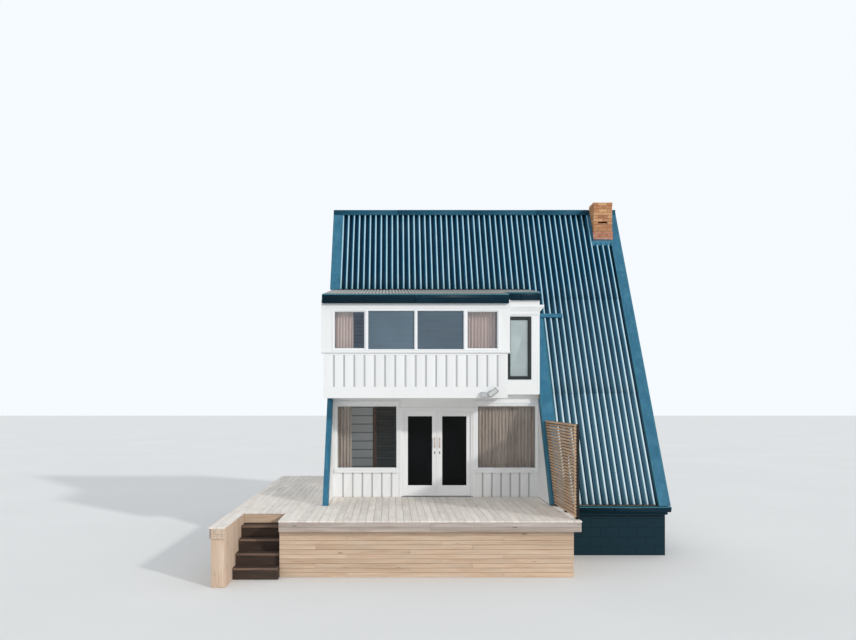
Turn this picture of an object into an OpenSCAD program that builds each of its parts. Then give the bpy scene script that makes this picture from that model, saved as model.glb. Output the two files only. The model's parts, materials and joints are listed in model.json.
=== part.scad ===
// Beach house: a steep A-frame with its ridge along X and its front towards -Y.
// The front slope is cut by a two-storey bay: a projecting upper box, a narrow
// bay beside it and a recessed ground-floor wall with French doors on a deck.
// Z is 0 on the ground, Y is 0 under the ridge, X is 0 at mid length.

/* [Main roof] */
// Length of the roof along the ridge, over both verges
roof_len = 7620; // [7500:10:7800]
// Height of the apex of the roof sheets above the low roof's eave
apex_up = 2755; // [2720:5:2790]
// Pitch of the main roof in degrees
roof_pitch = 60; // [59.6:0.1:60.4]
// Thickness of the lined roof panels that carry the sheets
panel_t = 160; // [120:5:200]
// Width of one corrugation
rib_pitch = 146; // [130:1:160]
// Distance of a crest of the corrugations from mid length
rib_shift = 100; // [0:1:145]
// Height of a corrugation from trough to crest
rib_depth = 48; // [40:1:56]
// Thickness of a roof sheet
sheet_t = 6; // [4:0.5:8]
// Length by which a row of sheets covers the row below
sheet_lap = 150; // [100:10:200]
// Height of the upper cross lap of the sheets above the ceiling line
lap_high_up = 2510; // [2360:10:2660]
// Height of the lower cross lap of the sheets above the ceiling line
lap_low_up = 125; // [60:5:260]
// Height of the sheets' lower edge above the floor
eave_lift = 30; // [29:1:45]

/* [Flashings and gutters] */
// Thickness of the folded flashings
flash_t = 4; // [3:0.5:6]
// Width of the verge flashings on the slope
verge_w = 258; // [200:2:300]
// Thickness of the verge boards
verge_t = 20; // [16:1:30]
// Overhang of the verges past the gable walls
verge_over = 60; // [40:2:90]
// Width of one wing of the ridge cap
ridge_wing = 125; // [100:1:180]
// Width of the flashing beside the recess
recess_flash_w = 290; // [230:5:330]
// Height of the step cap across the sheets above the ceiling line
step_up = 2001; // [1900:1:2060]
// Length of the step cap
step_len = 770; // [600:10:900]
// Width of the step cap on the slope
step_w = 105; // [60:5:120]
// Height of the step cap above the sheets
step_h = 32; // [20:1:45]
// Width of the eave gutters
gutter_w = 125; // [100:5:150]
// Height of the eave gutters
gutter_h = 115; // [90:5:130]
// Thickness of the gutters' metal
gutter_t = 3; // [2:0.5:5]

/* [Walls and floors] */
// Thickness of the framed walls
wall_t = 120; // [100:5:140]
// Height of the ground floor and the deck above the ground
floor_z = 1100; // [1040:5:1160]
// Thickness of the ground floor
floor_t = 200; // [160:5:240]
// Height of the ground-floor rooms from floor to ceiling
storey_h = 2340; // [2300:5:2400]
// Thickness of the upper floor
upper_floor_t = 250; // [220:5:280]
// Thickness of the base walls under the floor
base_t = 110; // [90:5:140]
// Setback of the base walls from the floor's edge
base_inset = 90; // [60:5:130]
// Width of the wall boards, groove to groove
wall_board = 227; // [200:1:260]
// Width of the grooves between wall boards
groove_w = 40; // [15:1:44]
// Depth of the grooves between wall boards
groove_d = 18; // [6:1:22]

/* [Recess and French doors] */
// Distance of the ground-floor front wall from the roof's lining at the ceiling
recess_gap = 16; // [12:1:60]
// Distance of the recess's right side from mid length
recess_right = 1230; // [1200:5:1260]
// Distance of the doors' meeting line from mid length, to the left
door_mid = 1164; // [1140:2:1190]
// Width of one door leaf
leaf_w = 810; // [780:2:830]
// Height of a door leaf
leaf_h = 2020; // [1960:5:2060]
// Thickness of a door leaf
leaf_t = 40; // [35:1:45]
// Running gap round the door leaves
door_gap = 5; // [5:0.5:8]
// Width of the door frame's jambs and head
jamb_w = 40; // [30:1:50]
// Depth of the door frame
frame_d = 75; // [65:1:90]
// Height of the door sill
door_sill_h = 15; // [10:1:25]
// Projection of the stops that the leaves close against
stop_w = 15; // [10:1:20]
// Width of a leaf's stiles
stile_w = 113; // [95:1:125]
// Height of a leaf's top rail
top_rail = 120; // [100:2:140]
// Height of a leaf's bottom rail
bottom_rail = 249; // [200:2:280]
// Thickness of the glass
glass_t = 6; // [4:1:8]
// Length of the door pulls
pull_len = 260; // [180:5:320]
// Height of the middle of the door pulls above the floor
pull_z = 1290; // [900:10:1400]
// Radius of the hinge pins
pin_r = 4; // [3:0.5:6]
// Wall of the hinge knuckles round the pin
knuckle_wall = 3; // [2:0.5:4]
// Length of one hinge
hinge_h = 100; // [80:2:120]
// Distance of the outer hinges' middles from the leaf's top and foot
hinge_end = 200; // [150:5:260]

/* [Ground-floor windows] */
// Height of the windows' sills above the floor
sill_up = 655; // [600:5:700]
// Height of the window opening's head above the floor
head_up = 2215; // [2180:5:2240]
// Distance of the left window's left edge from the gable wall's outer face
win_left_in = 155; // [135:5:190]
// Right edge of the left window, from mid length to the left
win_left_end = 2068; // [2050:2:2100]
// Left edge of the right window, from mid length to the left
win_right_x = 262; // [240:2:280]
// Width of the window frames' members
frame_w = 55; // [40:1:70]
// Height of the projecting sills
sill_h = 75; // [70:5:110]
// Projection of sills and head trims from the wall
trim_out = 30; // [20:1:45]
// Height of the head trims
trim_h = 60; // [40:2:80]

/* [Upper box] */
// Projection of the box's front face from the ground-floor wall
box_out = 1290; // [1220:5:1350]
// Distance of the box's right side from mid length
box_right = 318; // [280:2:350]
// Projection of the window wall past the parapet's left end
box_ear = 50; // [30:2:58]
// Height of the parapet's top above the ceiling line
parapet_h = 990; // [950:5:1020]
// Height of the plain board along the parapet's foot
foot_board = 250; // [220:5:280]
// Height of the upper sill
upper_sill_h = 60; // [50:2:80]
// Projection of the upper sill
upper_sill_out = 40; // [30:2:60]
// Distance of the window band's left edge from the gable wall's outer face
band_in_left = 197; // [170:1:230]
// Right edge of the window band, from mid length to the right
band_right = 132; // [110:2:150]
// Height of the window band
band_h = 910; // [870:5:940]
// Width of the two outer windows
outer_win_w = 755; // [700:5:800]
// Width of the mullions between the windows
mullion_w = 60; // [56:2:110]
// Width of the frame round the band of windows
band_edge_w = 24; // [20:1:50]
// Width of the outer windows' sashes
sash_w = 20; // [18:1:50]
// Height of the band's head and foot inside the frame
band_rail_h = 28; // [22:1:36]
// Reach of the corner board past the box's right side
corner_w = 50; // [30:1:60]

/* [Narrow bay] */
// Projection of the narrow bay's front face from the ground-floor wall
bay_out = 180; // [150:5:210]
// Height of the bay's underside above the ceiling line
bay_up = 90; // [60:5:120]
// Left edge of the tall window, from mid length
tall_x = 465; // [450:1:520]
// Width of the tall window
tall_w = 570; // [510:1:590]
// Gap between the tall window's hood and the gutter over it
hood_clear = 113; // [80:1:170]
// Height of the hood's foot above the tall window
hood_up = 40; // [30:2:50]
// Height of the tall window's foot above the ceiling line
tall_up = 440; // [420:5:470]
// Width of the tall window's dark frame
tall_frame = 70; // [40:1:80]
// Height of the hood over the tall window
hood_h = 225; // [190:5:240]
// Projection of the hood
hood_out = 95; // [70:5:120]
// Length of the hood's splayed end
hood_splay = 90; // [60:5:110]

/* [Low roof over the bays] */
// Pitch of the low roof in degrees
low_pitch = 9.7; // [9.3:0.1:10.1]
// Overhang of the low roof's eave past the box's front face
low_eave_out = 65; // [40:5:100]
// Height of the low roof's eave above the window band
head_board = 345; // [330:5:380]
// Setback of the low roof's left end from the verge
low_left_in = 40; // [34:1:58]
// Thickness of the low roof's panel
low_panel_t = 120; // [100:5:140]
// Depth of the low roof's corrugations
low_rib_depth = 16; // [12:1:20]
// Width of one of the low roof's corrugations
low_rib_pitch = 76; // [70:1:84]
// Thickness of the low roof's sheets
low_sheet_t = 2; // [1.5:0.5:4]
// Overhang of the low roof past the box's right side
low_over = 14; // [8:1:30]
// Height of the low roof's gutters
low_gutter_h = 185; // [150:5:190]

/* [Gable windows] */
// Width of the ground-floor windows in the gables
gable_win_w = 1200; // [1000:10:1300]
// Height of the ground-floor windows in the gables
gable_win_h = 1150; // [1000:10:1250]
// Height of those windows' foot above the floor
gable_win_up = 900; // [850:10:950]
// Distance of those windows' middle from the ridge line
gable_win_y = 1500; // [1450:10:1600]
// Width of the upper windows in the gables
gable_up_w = 760; // [650:10:800]
// Height of the upper windows in the gables
gable_up_h = 900; // [800:10:950]
// Height of the upper windows' foot above the upper floor
gable_up_foot = 850; // [800:10:900]
// Distance of the upper windows' middle from the ridge line
gable_up_y = 900; // [860:10:940]

/* [Chimney] */
// Distance of the stack's right side from the right verge
stack_in = 212; // [202:1:225]
// Width of the stack
stack_w = 493; // [470:1:500]
// Front face of the stack, from the ridge line
stack_y = 490; // [460:5:520]
// Gap between the stack's back face and the ridge line
stack_back = 25; // [20:1:40]
// Height of the stack above the apex of the roof sheets
stack_up = 130; // [100:5:300]
// Depth of the ledge where the stack narrows below its top
ledge_down = 750; // [710:5:790]
// Width of the ledge
ledge_w = 13; // [8:1:16]
// Width of the flue
flue_w = 230; // [180:5:260]
// Depth of the flue
flue_depth = 900; // [600:10:1200]
// Width of the vent slot
slot_w = 200; // [150:5:250]
// Height of the vent slot
slot_h = 28; // [15:1:40]
// Depth of the vent slot into the stack's front
slot_deep = 55; // [40:1:100]
// Height of the vent slot below the stack's top
slot_down = 520; // [480:5:560]
// Clearance round the stack where it passes floors and roof
stack_gap = 8; // [5:1:12]
// Length of the apron flashing below the stack, down the slope
apron_len = 165; // [120:5:200]
// Height of the apron's upstand against the stack
apron_up = 70; // [50:5:100]
// Width of the flashing on the slope left of the stack
apron_side = 45; // [30:1:60]

/* [Deck] */
// Depth of the front deck from the ground-floor wall
deck_depth = 3710; // [3600:10:3800]
// Width of the deck past the recess's right side
deck_past = 135; // [120:5:200]
// Width of the side deck left of the stairs
deck_strip = 290; // [250:5:350]
// Distance of the side deck's back edge from the ridge line
deck_back = 2560; // [2400:10:2700]
// Width of a deck board
deck_board = 140; // [120:1:150]
// Gap between deck boards
deck_gap = 5; // [4:0.5:8]
// Thickness of the deck boards
deck_t = 30; // [25:1:35]
// Height of the joists
joist_h = 140; // [120:5:160]
// Width of the joists
joist_w = 45; // [40:1:60]
// Spacing of the joists
joist_step = 600; // [450:10:650]
// Width of the bearers and posts
post_w = 90; // [75:5:110]
// Height of the fascia boards
fascia_h = 212; // [201:1:220]
// Thickness of the fascia boards
fascia_t = 30; // [25:1:35]
// Setback of the boarding under the deck
clad_back = 120; // [100:5:140]
// Thickness of the boarding under the deck
clad_t = 25; // [20:1:30]
// Height of one board of the boarding
clad_board = 180; // [100:1:300]

/* [Stairs] */
// Width of the stairs
stair_w = 860; // [780:5:900]
// Distance of the stairs' right side from the gable wall's outer face
stair_in = 650; // [600:5:700]
// Setback of the top riser from the deck's front edge
stair_back = 1120; // [1060:10:1200]
// Number of risers
risers = 5; // [4:1:6]
// Going of one step
going = 300; // [270:5:320]
// Projection of the treads past the risers
nosing = 20; // [0:2:35]
// Thickness of the treads
tread_t = 40; // [30:1:50]
// Thickness of the risers
riser_t = 20; // [15:1:25]
// Thickness of the stringers
stringer_t = 40; // [35:1:50]
// Length of the side wall past the lowest tread
side_wall_past = 670; // [600:10:720]

/* [Privacy screen] */
// Height of the screen above the deck
screen_h = 1830; // [1700:10:1900]
// Setback of the screen's front end from the deck's front edge
screen_in = 170; // [120:10:400]
// Height of one slat
slat_h = 42; // [36:1:48]
// Spacing of the slats
slat_step = 62; // [56:1:70]
// Thickness of the slats
slat_t = 19; // [15:1:25]
// Width of the screen's posts across the screen
screen_post = 60; // [45:1:70]
// Depth of the screen's posts along the screen
screen_post_d = 90; // [70:5:110]
// Gap between the screen's back edge and the roof flashing
screen_gap = 1; // [0.5:0.5:10]

/* [Curtains, inner wall and lamp] */
// Thickness of a curtain's folds
curtain_t = 60; // [50:2:80]
// Distance of the curtains behind the window walls
curtain_in = 30; // [20:2:50]
// Gap between the curtains' hems and the floors
hem_gap = 25; // [15:1:40]
// Width of the curtain at the upper box's left end
curtain_a_w = 400; // [350:10:450]
// Width of the curtain at the upper box's right end
curtain_b_w = 660; // [600:10:700]
// Width of the curtain at the left ground-floor window
curtain_c_w = 330; // [280:10:380]
// Distance of the inner wall's face from the ridge line
inner_y = 1500; // [1400:10:1600]
// Thickness of the inner wall
inner_t = 90; // [70:5:100]
// Right end of the inner wall, from mid length to the left
inner_end = 2720; // [2650:10:2800]
// Width of the post at the inner wall's end
inner_post = 95; // [80:5:110]
// Length of the outdoor lamp's head
lamp_w = 230; // [180:5:260]
// Tilt of the lamp's head in degrees
lamp_tilt = 38; // [20:1:50]
// Distance of the lamp's left end from the box's right side
lamp_in = 596; // [560:2:640]
// Width of the lamp's gear box
lamp_box_w = 165; // [130:5:200]
// Height of the lamp's gear box
lamp_box_h = 112; // [90:2:130]
// Depth of the lamp's gear box
lamp_box_d = 95; // [80:1:110]
// Depth of the lamp's head
lamp_head_d = 75; // [60:1:85]
// Height of the gear box above the underside of the projecting box
lamp_lift = 24; // [20:1:60]

/* [Hidden] */
fit = 0.3;
big = 20000;
grid = 8;
sp = sin(roof_pitch);
cp = cos(roof_pitch);
sd = sin(low_pitch);
cd = cos(low_pitch);
td = tan(low_pitch);

// Heights, each from the one below
ceiling_z = floor_z + storey_h;
upper_z = ceiling_z + upper_floor_t;
parapet_z = ceiling_z + parapet_h;
band_z = parapet_z + upper_sill_h;
low_eave_z = band_z + band_h + head_board;
apex_h = low_eave_z + apex_up;

// Offsets from the slope's crest plane: sheets, panel and what lies on the crests
sheet_d = rib_depth + sheet_t;
panel_top = -sheet_d - fit;
panel_bot = panel_top - panel_t;
lap_rise = sheet_t + 1.2;
flash_n = lap_rise + fit;
cap_n = flash_n + flash_t + fit;
low_sheet_d = low_rib_depth + low_sheet_t;
low_top = -low_sheet_d - fit;
low_bot = low_top - low_panel_t;

// Points on the front slope: y is the distance in front of the ridge line, n the
// offset along the slope's outward normal, m the same for the low roof
function slope_y(z, n) = (n + cp * (apex_h - z)) / sp;
function slope_z(y, n) = apex_h + (n - sp * y) / cp;
function slope_u(z, n) = (apex_h - z + n * cp) / sp;
function low_z(y, m) = low_eave_z + (low_eave_y - y) * td + m / cd;
function meet_y(n, m) = (n + cp * (apex_h - low_eave_z - low_eave_y * td - m / cd)) / (sp - cp * td);
function slope_end(n, m) =
    (apex_h + n * cp - low_eave_z - low_eave_y * td + n * sp * td - m / cd) / (sp - cp * td);
function slope_pt(z, n) = [-slope_y(z, n), z];
function low_pt(y, m) = [-y, low_z(y, m)];
function meet_pt(n, m) = [-meet_y(n, m), slope_z(meet_y(n, m), n)];

// Where the first row of sheets starts, just clear of the row on the other slope
row_top = (sheet_d * sp + 2) / cp;

// Distances of the fronts from the ridge line, each from the recessed wall
recess_y = slope_y(ceiling_z, panel_bot) + recess_gap;
box_y = recess_y + box_out;
bay_y = recess_y + bay_out;
low_eave_y = box_y + low_eave_out;
deck_front = recess_y + deck_depth;
stair_top_y = deck_front - stair_back;
screen_front = deck_front - screen_in;

half_len = roof_len / 2;
gable_x = half_len - verge_over;
win_left_x = gable_x - win_left_in;
band_left = gable_x - band_in_left;
low_x0 = -half_len + low_left_in;
stack_x = half_len - stack_in - stack_w;
stair_right = gable_x + stair_in;
stair_left = stair_right + stair_w;
deck_left = stair_left + deck_strip;
deck_right = recess_right + deck_past;
lap_high_z = ceiling_z + lap_high_up;
lap_low_z = ceiling_z + lap_low_up;
step_z = ceiling_z + step_up;
stack_top = apex_h + stack_up;
ledge_z = stack_top - ledge_down;
inner_x = gable_x - wall_t;
panel_x = half_len - verge_t;
base_z = floor_z - floor_t;
floor_y = slope_y(floor_z, panel_top) - fit;
deck_z = floor_z - deck_t;
bay_z = ceiling_z + bay_up;
rib_step = rib_pitch / grid;
sheets_left = rib_shift - floor((panel_x - fit + rib_shift) / rib_step) * rib_step;
sheets_right = rib_shift + floor((panel_x - fit - rib_shift) / rib_step) * rib_step;
sheets_mid = rib_shift + ceil((recess_right - rib_shift) / rib_step) * rib_step;
eave_z = floor_z + eave_lift;
box_in = box_y - wall_t;
low_front = box_y + 5;
bay_front = bay_y + 5;
head_z = floor_z + head_up;
sill_z = floor_z + sill_up;

// The narrow bay's gutter, and the tall window and hood that end under it
low_gutter_z = low_eave_z - low_sheet_d - 4 * gutter_t;
bay_gutter_z = low_gutter_z + (box_y - bay_y) * td;
bay_gutter_h = low_gutter_h * 0.9;
tall_z = ceiling_z + tall_up;
hood_z = bay_gutter_z - bay_gutter_h - hood_clear - hood_h;
tall_h = hood_z - hood_up - tall_z;

// French doors: leaves open inwards about pins just inside their hinge edges
leaf_z = floor_z + door_sill_h + door_gap;
leaf_top = leaf_z + leaf_h;
frame_top = leaf_top + door_gap + jamb_w;
leaf_out = recess_y - frame_d + leaf_t;
leaf_in = recess_y - frame_d;
leaf_x0 = -door_mid - door_gap / 2 - leaf_w;
jamb_x0 = leaf_x0 - door_gap - jamb_w;
jamb_x1 = -2 * door_mid - jamb_x0;
knuckle_r = pin_r + knuckle_wall;
pivot_x = leaf_x0 - door_gap / 2;
pivot_y = -(leaf_in - knuckle_r - 1);
pin_gap = 0.05;
hinge_zs = [leaf_z + hinge_end, leaf_z + leaf_h / 2, leaf_top - hinge_end];

riser = floor_z / risers;
stair_foot_y = stair_top_y + going * (risers - 1);
side_wall_y = stair_foot_y + side_wall_past;

module block(a, b) translate(a) cube(b - a);

// A polygon of [y, z] points carried along X
module along_x(x0, x1, pts)
    translate([x0, 0, 0]) rotate([90, 0, 90]) linear_extrude(x1 - x0) polygon(pts);

// A polygon of [x, z] points carried along Y
module along_y(y0, y1, pts)
    translate([0, y1, 0]) rotate([90, 0, 0]) linear_extrude(y1 - y0) polygon(pts);

// On the front slope x runs along the roof, y up the slope, z out of it
module on_front() translate([0, 0, apex_h]) rotate([roof_pitch, 0, 0]) children();

module on_back() mirror([0, 1, 0]) on_front() children();

// On the low roof y runs up the slope from the eave, z out of it
module on_low() translate([0, -low_eave_y, low_eave_z]) rotate([low_pitch, 0, 0]) children();

function wave(x, pitch, depth, shift) = depth * (1 + cos(360 * (x - shift) / pitch)) / 2;

// One row of corrugated sheets, lying from y = 0 down to y = -len
module corrugated(x0, x1, len, pitch, depth, t, shift) {
    n = max(1, round((x1 - x0) / (pitch / grid)));
    xs = [for (i = [0:n]) x0 + (x1 - x0) * i / n];
    low = [for (x = xs) [x, wave(x, pitch, depth, shift)]];
    high = [for (i = [n:-1:0]) [xs[i], wave(xs[i], pitch, depth, shift) + t]];
    rotate([90, 0, 0]) linear_extrude(len) polygon(concat(low, high));
}

// A row of roof sheets from u0 to u1 down the slope, its foot lifted onto the row below
module sheet_row(x0, x1, u0, u1, lift)
    translate([0, -u0, -sheet_d]) rotate([-asin(lift / (u1 - u0)), 0, 0])
        corrugated(x0, x1, u1 - u0, rib_pitch, rib_depth, sheet_t, rib_shift);

module sheet_rows(x0, x1) {
    u_high = slope_u(lap_high_z, 0);
    u_low = slope_u(lap_low_z, 0);
    sheet_row(x0, x1, row_top, u_high, lap_rise);
    sheet_row(x0, x1, u_high - sheet_lap, u_low, lap_rise);
    sheet_row(x0, x1, u_low - sheet_lap, slope_u(eave_z, 0), 0);
}

// Grooves between boards, cut into a face at y, from z0 to z1
module grooves_x(x0, x1, y, z0, z1) {
    n = round((x1 - x0) / wall_board);
    for (i = [1:n - 1])
        translate([x0 + (x1 - x0) * i / n - groove_w / 2, y, z0])
            cube([groove_w, groove_d, z1 - z0]);
}

// Four walls and the sleeper wall under the ridge, each a block of its own
module base_walls() color([0.05, 0.2, 0.24]) {
    x = gable_x - 10;
    y = floor_y - base_inset;
    for (s = [-1, 1]) {
        translate([-x, s * (y - base_t / 2) - base_t / 2, 0]) cube([2 * x, base_t, base_z]);
        for (t = [-1, 1])
            translate([t * (x - base_t / 2) - base_t / 2, s > 0 ? base_t / 2 + fit : -y + base_t + fit, 0])
                cube([base_t, y - base_t * 1.5 - 2 * fit, base_z]);
    }
    block([-x, -base_t / 2, 0], [stack_x - ledge_w - stack_gap, base_t / 2, base_z]);
}

module stack_hole(z0, z1)
    block([stack_x - ledge_w - stack_gap, -stack_y - ledge_w - stack_gap, z0],
          [stack_x + stack_w + ledge_w + stack_gap, -stack_back + ledge_w + stack_gap, z1]);

module ground_floor() color([0.35, 0.3, 0.25]) difference() {
    block([-gable_x, -floor_y, base_z], [gable_x, floor_y, floor_z]);
    block([-inner_x, -floor_y - 1, deck_z], [recess_right, -recess_y, floor_z + 1]);
    stack_hole(base_z - 1, floor_z + 1);
}

module upper_floor() color([0.8, 0.78, 0.74]) {
    gap = 2 * fit;
    front = [-slope_y(ceiling_z, panel_bot) + gap, ceiling_z];
    front_top = [-slope_y(upper_z, panel_bot) + gap, upper_z];
    difference() {
        along_x(-inner_x, inner_x,
                [front, [-front[0], ceiling_z], [-front_top[0], upper_z], front_top]);
        stack_hole(ceiling_z - 1, upper_z + 1);
    }
    // The floor of the projecting box and of the narrow bay
    block([-inner_x, -box_in, ceiling_z], [box_right - wall_t, front[0] + 5, upper_z]);
    block([box_right - wall_t - 1, -recess_y, ceiling_z], [recess_right, front[0] + 5, upper_z]);
    block([box_right, -bay_y + wall_t, bay_z], [recess_right - wall_t, -recess_y + 1, upper_z]);
}

module roof_panel_upper() color([0.75, 0.7, 0.62])
    along_x(-panel_x, recess_right, [
        [0, slope_z(0, panel_top)],
        meet_pt(panel_top, low_top + fit),
        meet_pt(panel_bot, low_top + fit),
        [0, slope_z(0, panel_bot)]
    ]);

module full_panel(x0, x1)
    along_x(x0, x1, [
        [0, slope_z(0, panel_top)],
        slope_pt(floor_z, panel_top),
        slope_pt(floor_z, panel_bot),
        [0, slope_z(0, panel_bot)]
    ]);

module roof_panel_right() color([0.75, 0.7, 0.62]) difference() {
    full_panel(recess_right, panel_x);
    stack_hole(floor_z, stack_top);
}

module roof_panel_back() color([0.75, 0.7, 0.62])
    mirror([0, 1, 0]) full_panel(-panel_x, panel_x);

module roof_sheets_upper() color([0.1, 0.32, 0.42])
    on_front() sheet_row(sheets_left, sheets_mid, row_top, slope_end(-sheet_d, 6), 0);

module roof_sheets_right() color([0.1, 0.32, 0.42]) difference() {
    on_front() sheet_rows(sheets_mid, sheets_right);
    stack_hole(floor_z, stack_top);
}

module roof_sheets_back() color([0.1, 0.32, 0.42])
    on_back() sheet_rows(sheets_left, sheets_right);

// Outline of a strip that folds over the ridge, u1 down each slope, between two offsets
function over_ridge(u, n0, n1) = [
    [-u * cp - n1 * sp, apex_h - u * sp + n1 * cp],
    [0, apex_h + n1 / cp],
    [u * cp + n1 * sp, apex_h - u * sp + n1 * cp],
    [u * cp + n0 * sp, apex_h - u * sp + n0 * cp],
    [0, apex_h + n0 / cp],
    [-u * cp - n0 * sp, apex_h - u * sp + n0 * cp]
];

module ridge_cap() color([0.15, 0.42, 0.52]) difference() {
    union() {
        along_x(-half_len, half_len, over_ridge(ridge_wing, cap_n, cap_n + flash_t));
        // Turned-down lips at the ends of the wings
        for (s = [0, 1]) mirror([0, s, 0]) on_front()
            block([-half_len + verge_w, -ridge_wing, cap_n - 10],
                  [half_len - verge_w, -ridge_wing + flash_t, cap_n + 1]);
    }
    stack_hole(floor_z, stack_top);
    // The front lip stops short of the flashing beside the stack
    on_front() block([stack_x - ledge_w - apron_side - 5, -ridge_wing - 1, -1],
                     [half_len + 1, -ridge_wing + flash_t + 1, cap_n + flash_t + 1]);
}

// One slope of a verge: a folded strip over the sheets and a board at the outer edge
module verge_strip(n0, n1, lower)
    polygon(lower == "low"
        ? [[0, slope_z(0, n1)], [0, slope_z(0, n0)], meet_pt(n0, fit), meet_pt(n1, fit)]
        : [[0, slope_z(0, n1)], [0, slope_z(0, n0)], slope_pt(floor_z, n0), slope_pt(floor_z, n1)]);

// The outer half of a verge, on the side of +X
module verge_half(lower) {
    translate([half_len - verge_w, 0, 0]) rotate([90, 0, 90])
        linear_extrude(verge_w) verge_strip(flash_n, flash_n + flash_t, lower);
    translate([half_len - verge_t + fit, 0, 0]) rotate([90, 0, 90])
        linear_extrude(verge_t - fit) verge_strip(panel_bot - verge_t, flash_n + flash_t, lower);
}

module verge_right() color([0.22, 0.5, 0.6]) difference() {
    union() {
        verge_half("floor");
        mirror([0, 1, 0]) verge_half("floor");
    }
    stack_hole(floor_z, stack_top);
}

module verge_left() color([0.22, 0.5, 0.6]) {
    mirror([1, 0, 0]) verge_half("low");
    mirror([1, 0, 0]) mirror([0, 1, 0]) verge_half("floor");
    // The raking edge beside the recess, from the deck to the box
    along_x(-gable_x, -inner_x, [
        slope_pt(floor_z, 0), slope_pt(ceiling_z - fit, 0),
        slope_pt(ceiling_z - fit, panel_bot), slope_pt(floor_z, panel_bot)
    ]);
}

module recess_flashing() color([0.22, 0.5, 0.6]) {
    top = slope_u(step_z, 0);
    foot = slope_u(eave_z, 0);
    on_front() block([recess_right + fit, -foot, flash_n],
                     [recess_right + recess_flash_w, -top, flash_n + flash_t]);
    // Below the ceiling it folds round the roof's edge, where no wall is in the way
    on_front() block([recess_right - 1, -foot, flash_n],
                     [recess_right + 1, -slope_u(ceiling_z - fit, 0), flash_n + flash_t]);
    // The leg that covers the roof's cut edge beside the recess
    difference() {
        along_x(recess_right - flash_t, recess_right - fit, [
            slope_pt(floor_z, flash_n + flash_t), slope_pt(ceiling_z - fit, flash_n + flash_t),
            slope_pt(ceiling_z - fit, panel_bot), slope_pt(floor_z, panel_bot)
        ]);
        block([recess_right - wall_t, -recess_y - fit, floor_z], [recess_right + 1, 0, ceiling_z]);
    }
    on_front() block([recess_right + fit, -top, flash_n],
                     [recess_right + step_len, -top + step_w, flash_n + step_h]);
}

// An open gutter whose back is at y and whose top is at z
module gutter(x0, x1, y, z, w, h) {
    difference() {
        block([x0, -y - w, z - h], [x1, -y, z]);
        block([x0 + gutter_t, -y - w + gutter_t, z - h + gutter_t],
              [x1 - gutter_t, -y - gutter_t, z + 1]);
    }
    // A rolled bead along the front edge
    translate([x0, -y - w, z]) rotate([0, 90, 0]) cylinder(r = 3 * gutter_t, h = x1 - x0, $fn = 16);
}

module eave_gutters() color([0.05, 0.28, 0.36]) {
    z = floor_z - 6 * gutter_t;
    gutter(deck_right + 20, half_len, floor_y + fit, z, gutter_w, gutter_h);
    mirror([0, 1, 0]) gutter(-half_len, half_len, floor_y + fit, z, gutter_w, gutter_h);
}

// The four window openings of a gable wall as [y, z, width, height]
gable_openings = [
    for (s = [-1, 1]) [s * gable_win_y, floor_z + gable_win_up, gable_win_w, gable_win_h],
    for (s = [-1, 1]) [s * gable_up_y, upper_z + gable_up_foot, gable_up_w, gable_up_h]
];

// A gable wall on the side of +X
module gable_wall() {
    n = panel_bot - fit;
    foot = slope_y(floor_z, n);
    rows = round(2 * foot / wall_board);
    difference() {
        along_x(inner_x, gable_x, [[-foot, floor_z], [foot, floor_z], [0, slope_z(0, n)]]);
        for (o = gable_openings)
            block([inner_x - 1, o[0] - o[2] / 2, o[1]], [gable_x + 1, o[0] + o[2] / 2, o[1] + o[3]]);
        for (i = [1:rows - 1])
            block([gable_x - groove_d, -foot + 2 * foot * i / rows - groove_w / 2, floor_z + groove_w],
                  [gable_x + 1, -foot + 2 * foot * i / rows + groove_w / 2, apex_h]);
    }
}

module gable_wall_right() color([0.93, 0.93, 0.92]) gable_wall();

module gable_wall_left() color([0.93, 0.93, 0.92]) mirror([1, 0, 0]) gable_wall();

module gable_frames() for (o = gable_openings) difference() {
    block([inner_x + fit, o[0] - o[2] / 2 + fit, o[1] + fit],
          [gable_x + trim_out / 2, o[0] + o[2] / 2 - fit, o[1] + o[3] - fit]);
    block([inner_x - 1, o[0] - o[2] / 2 + frame_w, o[1] + frame_w],
          [gable_x + trim_out, o[0] + o[2] / 2 - frame_w, o[1] + o[3] - frame_w]);
}

module gable_window_frames() color([0.95, 0.95, 0.94]) {
    gable_frames();
    mirror([1, 0, 0]) gable_frames();
}

module gable_panes() for (o = gable_openings)
    block([gable_x - wall_t / 2, o[0] - o[2] / 2 + frame_w + fit, o[1] + frame_w + fit],
          [gable_x - wall_t / 2 + glass_t, o[0] + o[2] / 2 - frame_w - fit, o[1] + o[3] - frame_w - fit]);

module gable_glass() color([0.3, 0.38, 0.42, 0.5]) {
    gable_panes();
    mirror([1, 0, 0]) gable_panes();
}

module recess_cheek() color([0.85, 0.86, 0.86]) {
    n = panel_bot - fit;
    along_x(recess_right, recess_right + wall_t, [
        [-recess_y + wall_t, floor_z], slope_pt(floor_z, n), slope_pt(ceiling_z - fit, n),
        [-recess_y + wall_t, ceiling_z - fit]
    ]);
}

// The recess's front wall between x0 and x1 with a window opening and boarded foot
module recess_wall(x0, x1, w0, w1) difference() {
    block([x0, -recess_y, floor_z], [x1, -recess_y + wall_t, ceiling_z]);
    block([w0, -recess_y - 1, sill_z], [w1, -recess_y + wall_t + 1, head_z]);
    grooves_x(x0, x1, -recess_y - 1, floor_z - 1, sill_z - sill_h);
}

module wall_ground_left() color([0.92, 0.92, 0.92])
    recess_wall(-inner_x, jamb_x0, -win_left_x, -win_left_end);

module wall_ground_right() color([0.92, 0.92, 0.92])
    recess_wall(jamb_x1, recess_right, -win_right_x, recess_right + 1);

module wall_over_doors() color([0.92, 0.92, 0.92])
    block([jamb_x0, -recess_y, frame_top], [jamb_x1, -recess_y + wall_t, ceiling_z]);

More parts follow.
